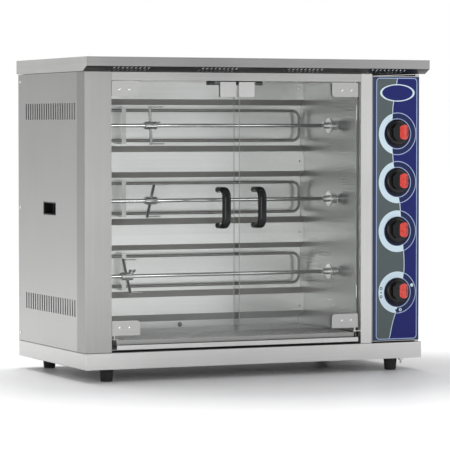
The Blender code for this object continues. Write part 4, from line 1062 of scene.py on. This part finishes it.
# the cover's turned-down front takes the darker front steel: painted shade
grid.data.materials.append(painted_shade_front_steel)
for polygon in grid.data.polygons:
    front = abs(polygon.normal.y) > 0.8 and polygon.center.y < low.y + 0.002
    polygon.material_index = 1 if front else 0

# ---- Knobs -----------------------------------------------------------------------------------
# Black moulded knobs with a round skirt and an eight-sided grip. A red insert is pressed into
# the grip's right half and slopes down its flank. It shows where the knob points.

red_insert = mottled(
    "red_insert", (0.56, 0.022, 0.012), (0.74, 0.045, 0.024), tint=(90, 3),
    shine=(0.20, 0.15, 90, 3), relief=(0.00002, 0.3, 600), Coat_Weight=0.4, Coat_Roughness=0.08,
)
KNOB_DEPTH = 0.0200  # from the grip's front to the skirt's back
SKIRT_RINGS = [
    (0.0040, -0.0170), (0.0040, 0.0), (0.0342, 0.0), (0.0350, 0.0008), (0.0350, 0.0028),
    (0.0345, 0.0038), (0.0322, 0.0060), (0.0308, 0.0066), (0.0292, 0.0070), (0.0250, 0.0071),
]
GRIP_SPOT, GRIP_SIZE, GRIP_CORNER = (0, 0, 0.0125), (0.043, 0.048, 0.0130), 0.0115
INSERT_SPOT, INSERT_SIZE = (0.0138, 0, 0.0190), (0.0316, 0.0410, 0.0020)
INSERT_ROUND = (0.0120, 0.0195)  # middle and half length of the ellipse that its ends follow
RIDGE_X, FLANK_SLOPE = 0.0205, 1.21  # where it turns down over the flank, and how steeply
CROWN_X, CROWN_SLOPE = 0.0110, 0.07


def upright_edge(edge):
    ends = [grip.data.vertices[index].co for index in edge.vertices]
    return abs(ends[0].z - ends[1].z) > 0.005


for name, z in zip(DIALS, KNOB_HEIGHTS):
    node, body = "knob_" + name, "dial_" + name
    spot = (KNOB_X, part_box(node)[0].y + KNOB_DEPTH, z)
    skirt = turned(SKIRT_RINGS, spot, FRONT_TURN, 72)
    grip = block(GRIP_SPOT, GRIP_SIZE)
    picked(grip, "edges", upright_edge, "EDGE")
    bpy.ops.mesh.bevel(offset=GRIP_CORNER, segments=1)
    bpy.ops.object.mode_set(mode="OBJECT")
    grip = placed(soften(grip, 0.0016, 4, 30, 40), spot, FRONT_TURN)
    knob = merged([skirt, grip])
    fit(knob, "moulded_knob_" + name, gloss_black, body, "black_plastic", node)

    insert = block(INSERT_SPOT, INSERT_SIZE)
    edit(insert)
    bpy.ops.mesh.subdivide(number_cuts=7)
    bpy.ops.object.mode_set(mode="OBJECT")
    for vertex in insert.data.vertices:
        x = vertex.co.x
        vertex.co.y *= math.sqrt(1 - ((x - INSERT_ROUND[0]) / INSERT_ROUND[1]) ** 2)
        vertex.co.z -= FLANK_SLOPE * max(0.0, x - RIDGE_X)
        vertex.co.z -= CROWN_SLOPE * abs(min(x, RIDGE_X) - CROWN_X)
    insert = placed(soften(insert, 0.0003, 2, 50), spot, FRONT_TURN, 25)
    fit(insert, "red_insert_" + name, red_insert, body, "red_insert")

# ---- Regulators, terminal block and cable gland ----------------------------------------------
# Behind the fascia a zinc strap holds four regulators in steatite and steel cases, all shown in zinc.
# The supply enters by a black gland low on the rear panel and ends at a ceramic terminal block.

refined("regulator_bank", bright_zinc, 0.0005)
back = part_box("regulator_bank")[1].y
TAB_SIZE, TAB_DEPTH = (0.0063, 0.0078, 0.0008), 0.0035
TABS = [(a, b) for a in (-0.012, 0.0, 0.012) for b in (-0.010, 0.010)]
CASE_SCREW = 0.0195  # above and below the knob's height
pieces = []
for z in KNOB_HEIGHTS:
    for a, b in TABS:
        tab = block((KNOB_X + a, back + TAB_DEPTH, z + b), TAB_SIZE)
        pieces.append(soften(tab, 0.0002, 1))
    for b in (-CASE_SCREW, CASE_SCREW):
        pieces.append(screw_head((KNOB_X, back, z + b), BACK_TURN, 0.0030, 0.0018))
fit(merged(pieces), "regulator_tabs", bright_zinc, "root", "liner_steel")

refined("terminal_block", steatite, 0.0012)
low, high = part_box("terminal_block")
brass = mottled(
    "brass", (0.52, 0.36, 0.13), (0.80, 0.60, 0.26), tint=(200, 3),
    shine=(0.20, 0.25, 200, 3), relief=(0.00003, 0.3, 200, 3), Metallic=1.0,
)
heads = [
    screw_head(((low.x + high.x) / 2 + a, low.y + b, high.z), ORIGIN, 0.0032, 0.0016)
    for a in (-0.020, 0.0, 0.020) for b in (0.007, 0.021)
]
fit(merged(heads), "terminal_screws", brass, "root", "terminal_ceramic")

middle = middle_of("cable_gland")
THREAD_L = 0.0080  # inside the panel
spot = (middle.x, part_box("cable_gland")[0].y + THREAD_L, middle.z)
rings = [(0.0060, 0.0080), (0.0060, 0.0200), (0.0092, 0.0205)]
rings += [(0.0100 + 0.0035 * share, 0.0200 - 0.0110 * share) for share in (0.1, 0.3, 0.5, 0.7, 0.9)]
rings += [(0.0140, 0.0080), (0.0140, 0.0004), (0.0100, 0.0004), (0.0100, -0.0079)]
sleeve = turned(rings, spot, BACK_TURN, 40)
fit(sleeve, "gland_body", black_moulding, "root", "black_plastic", "cable_gland")
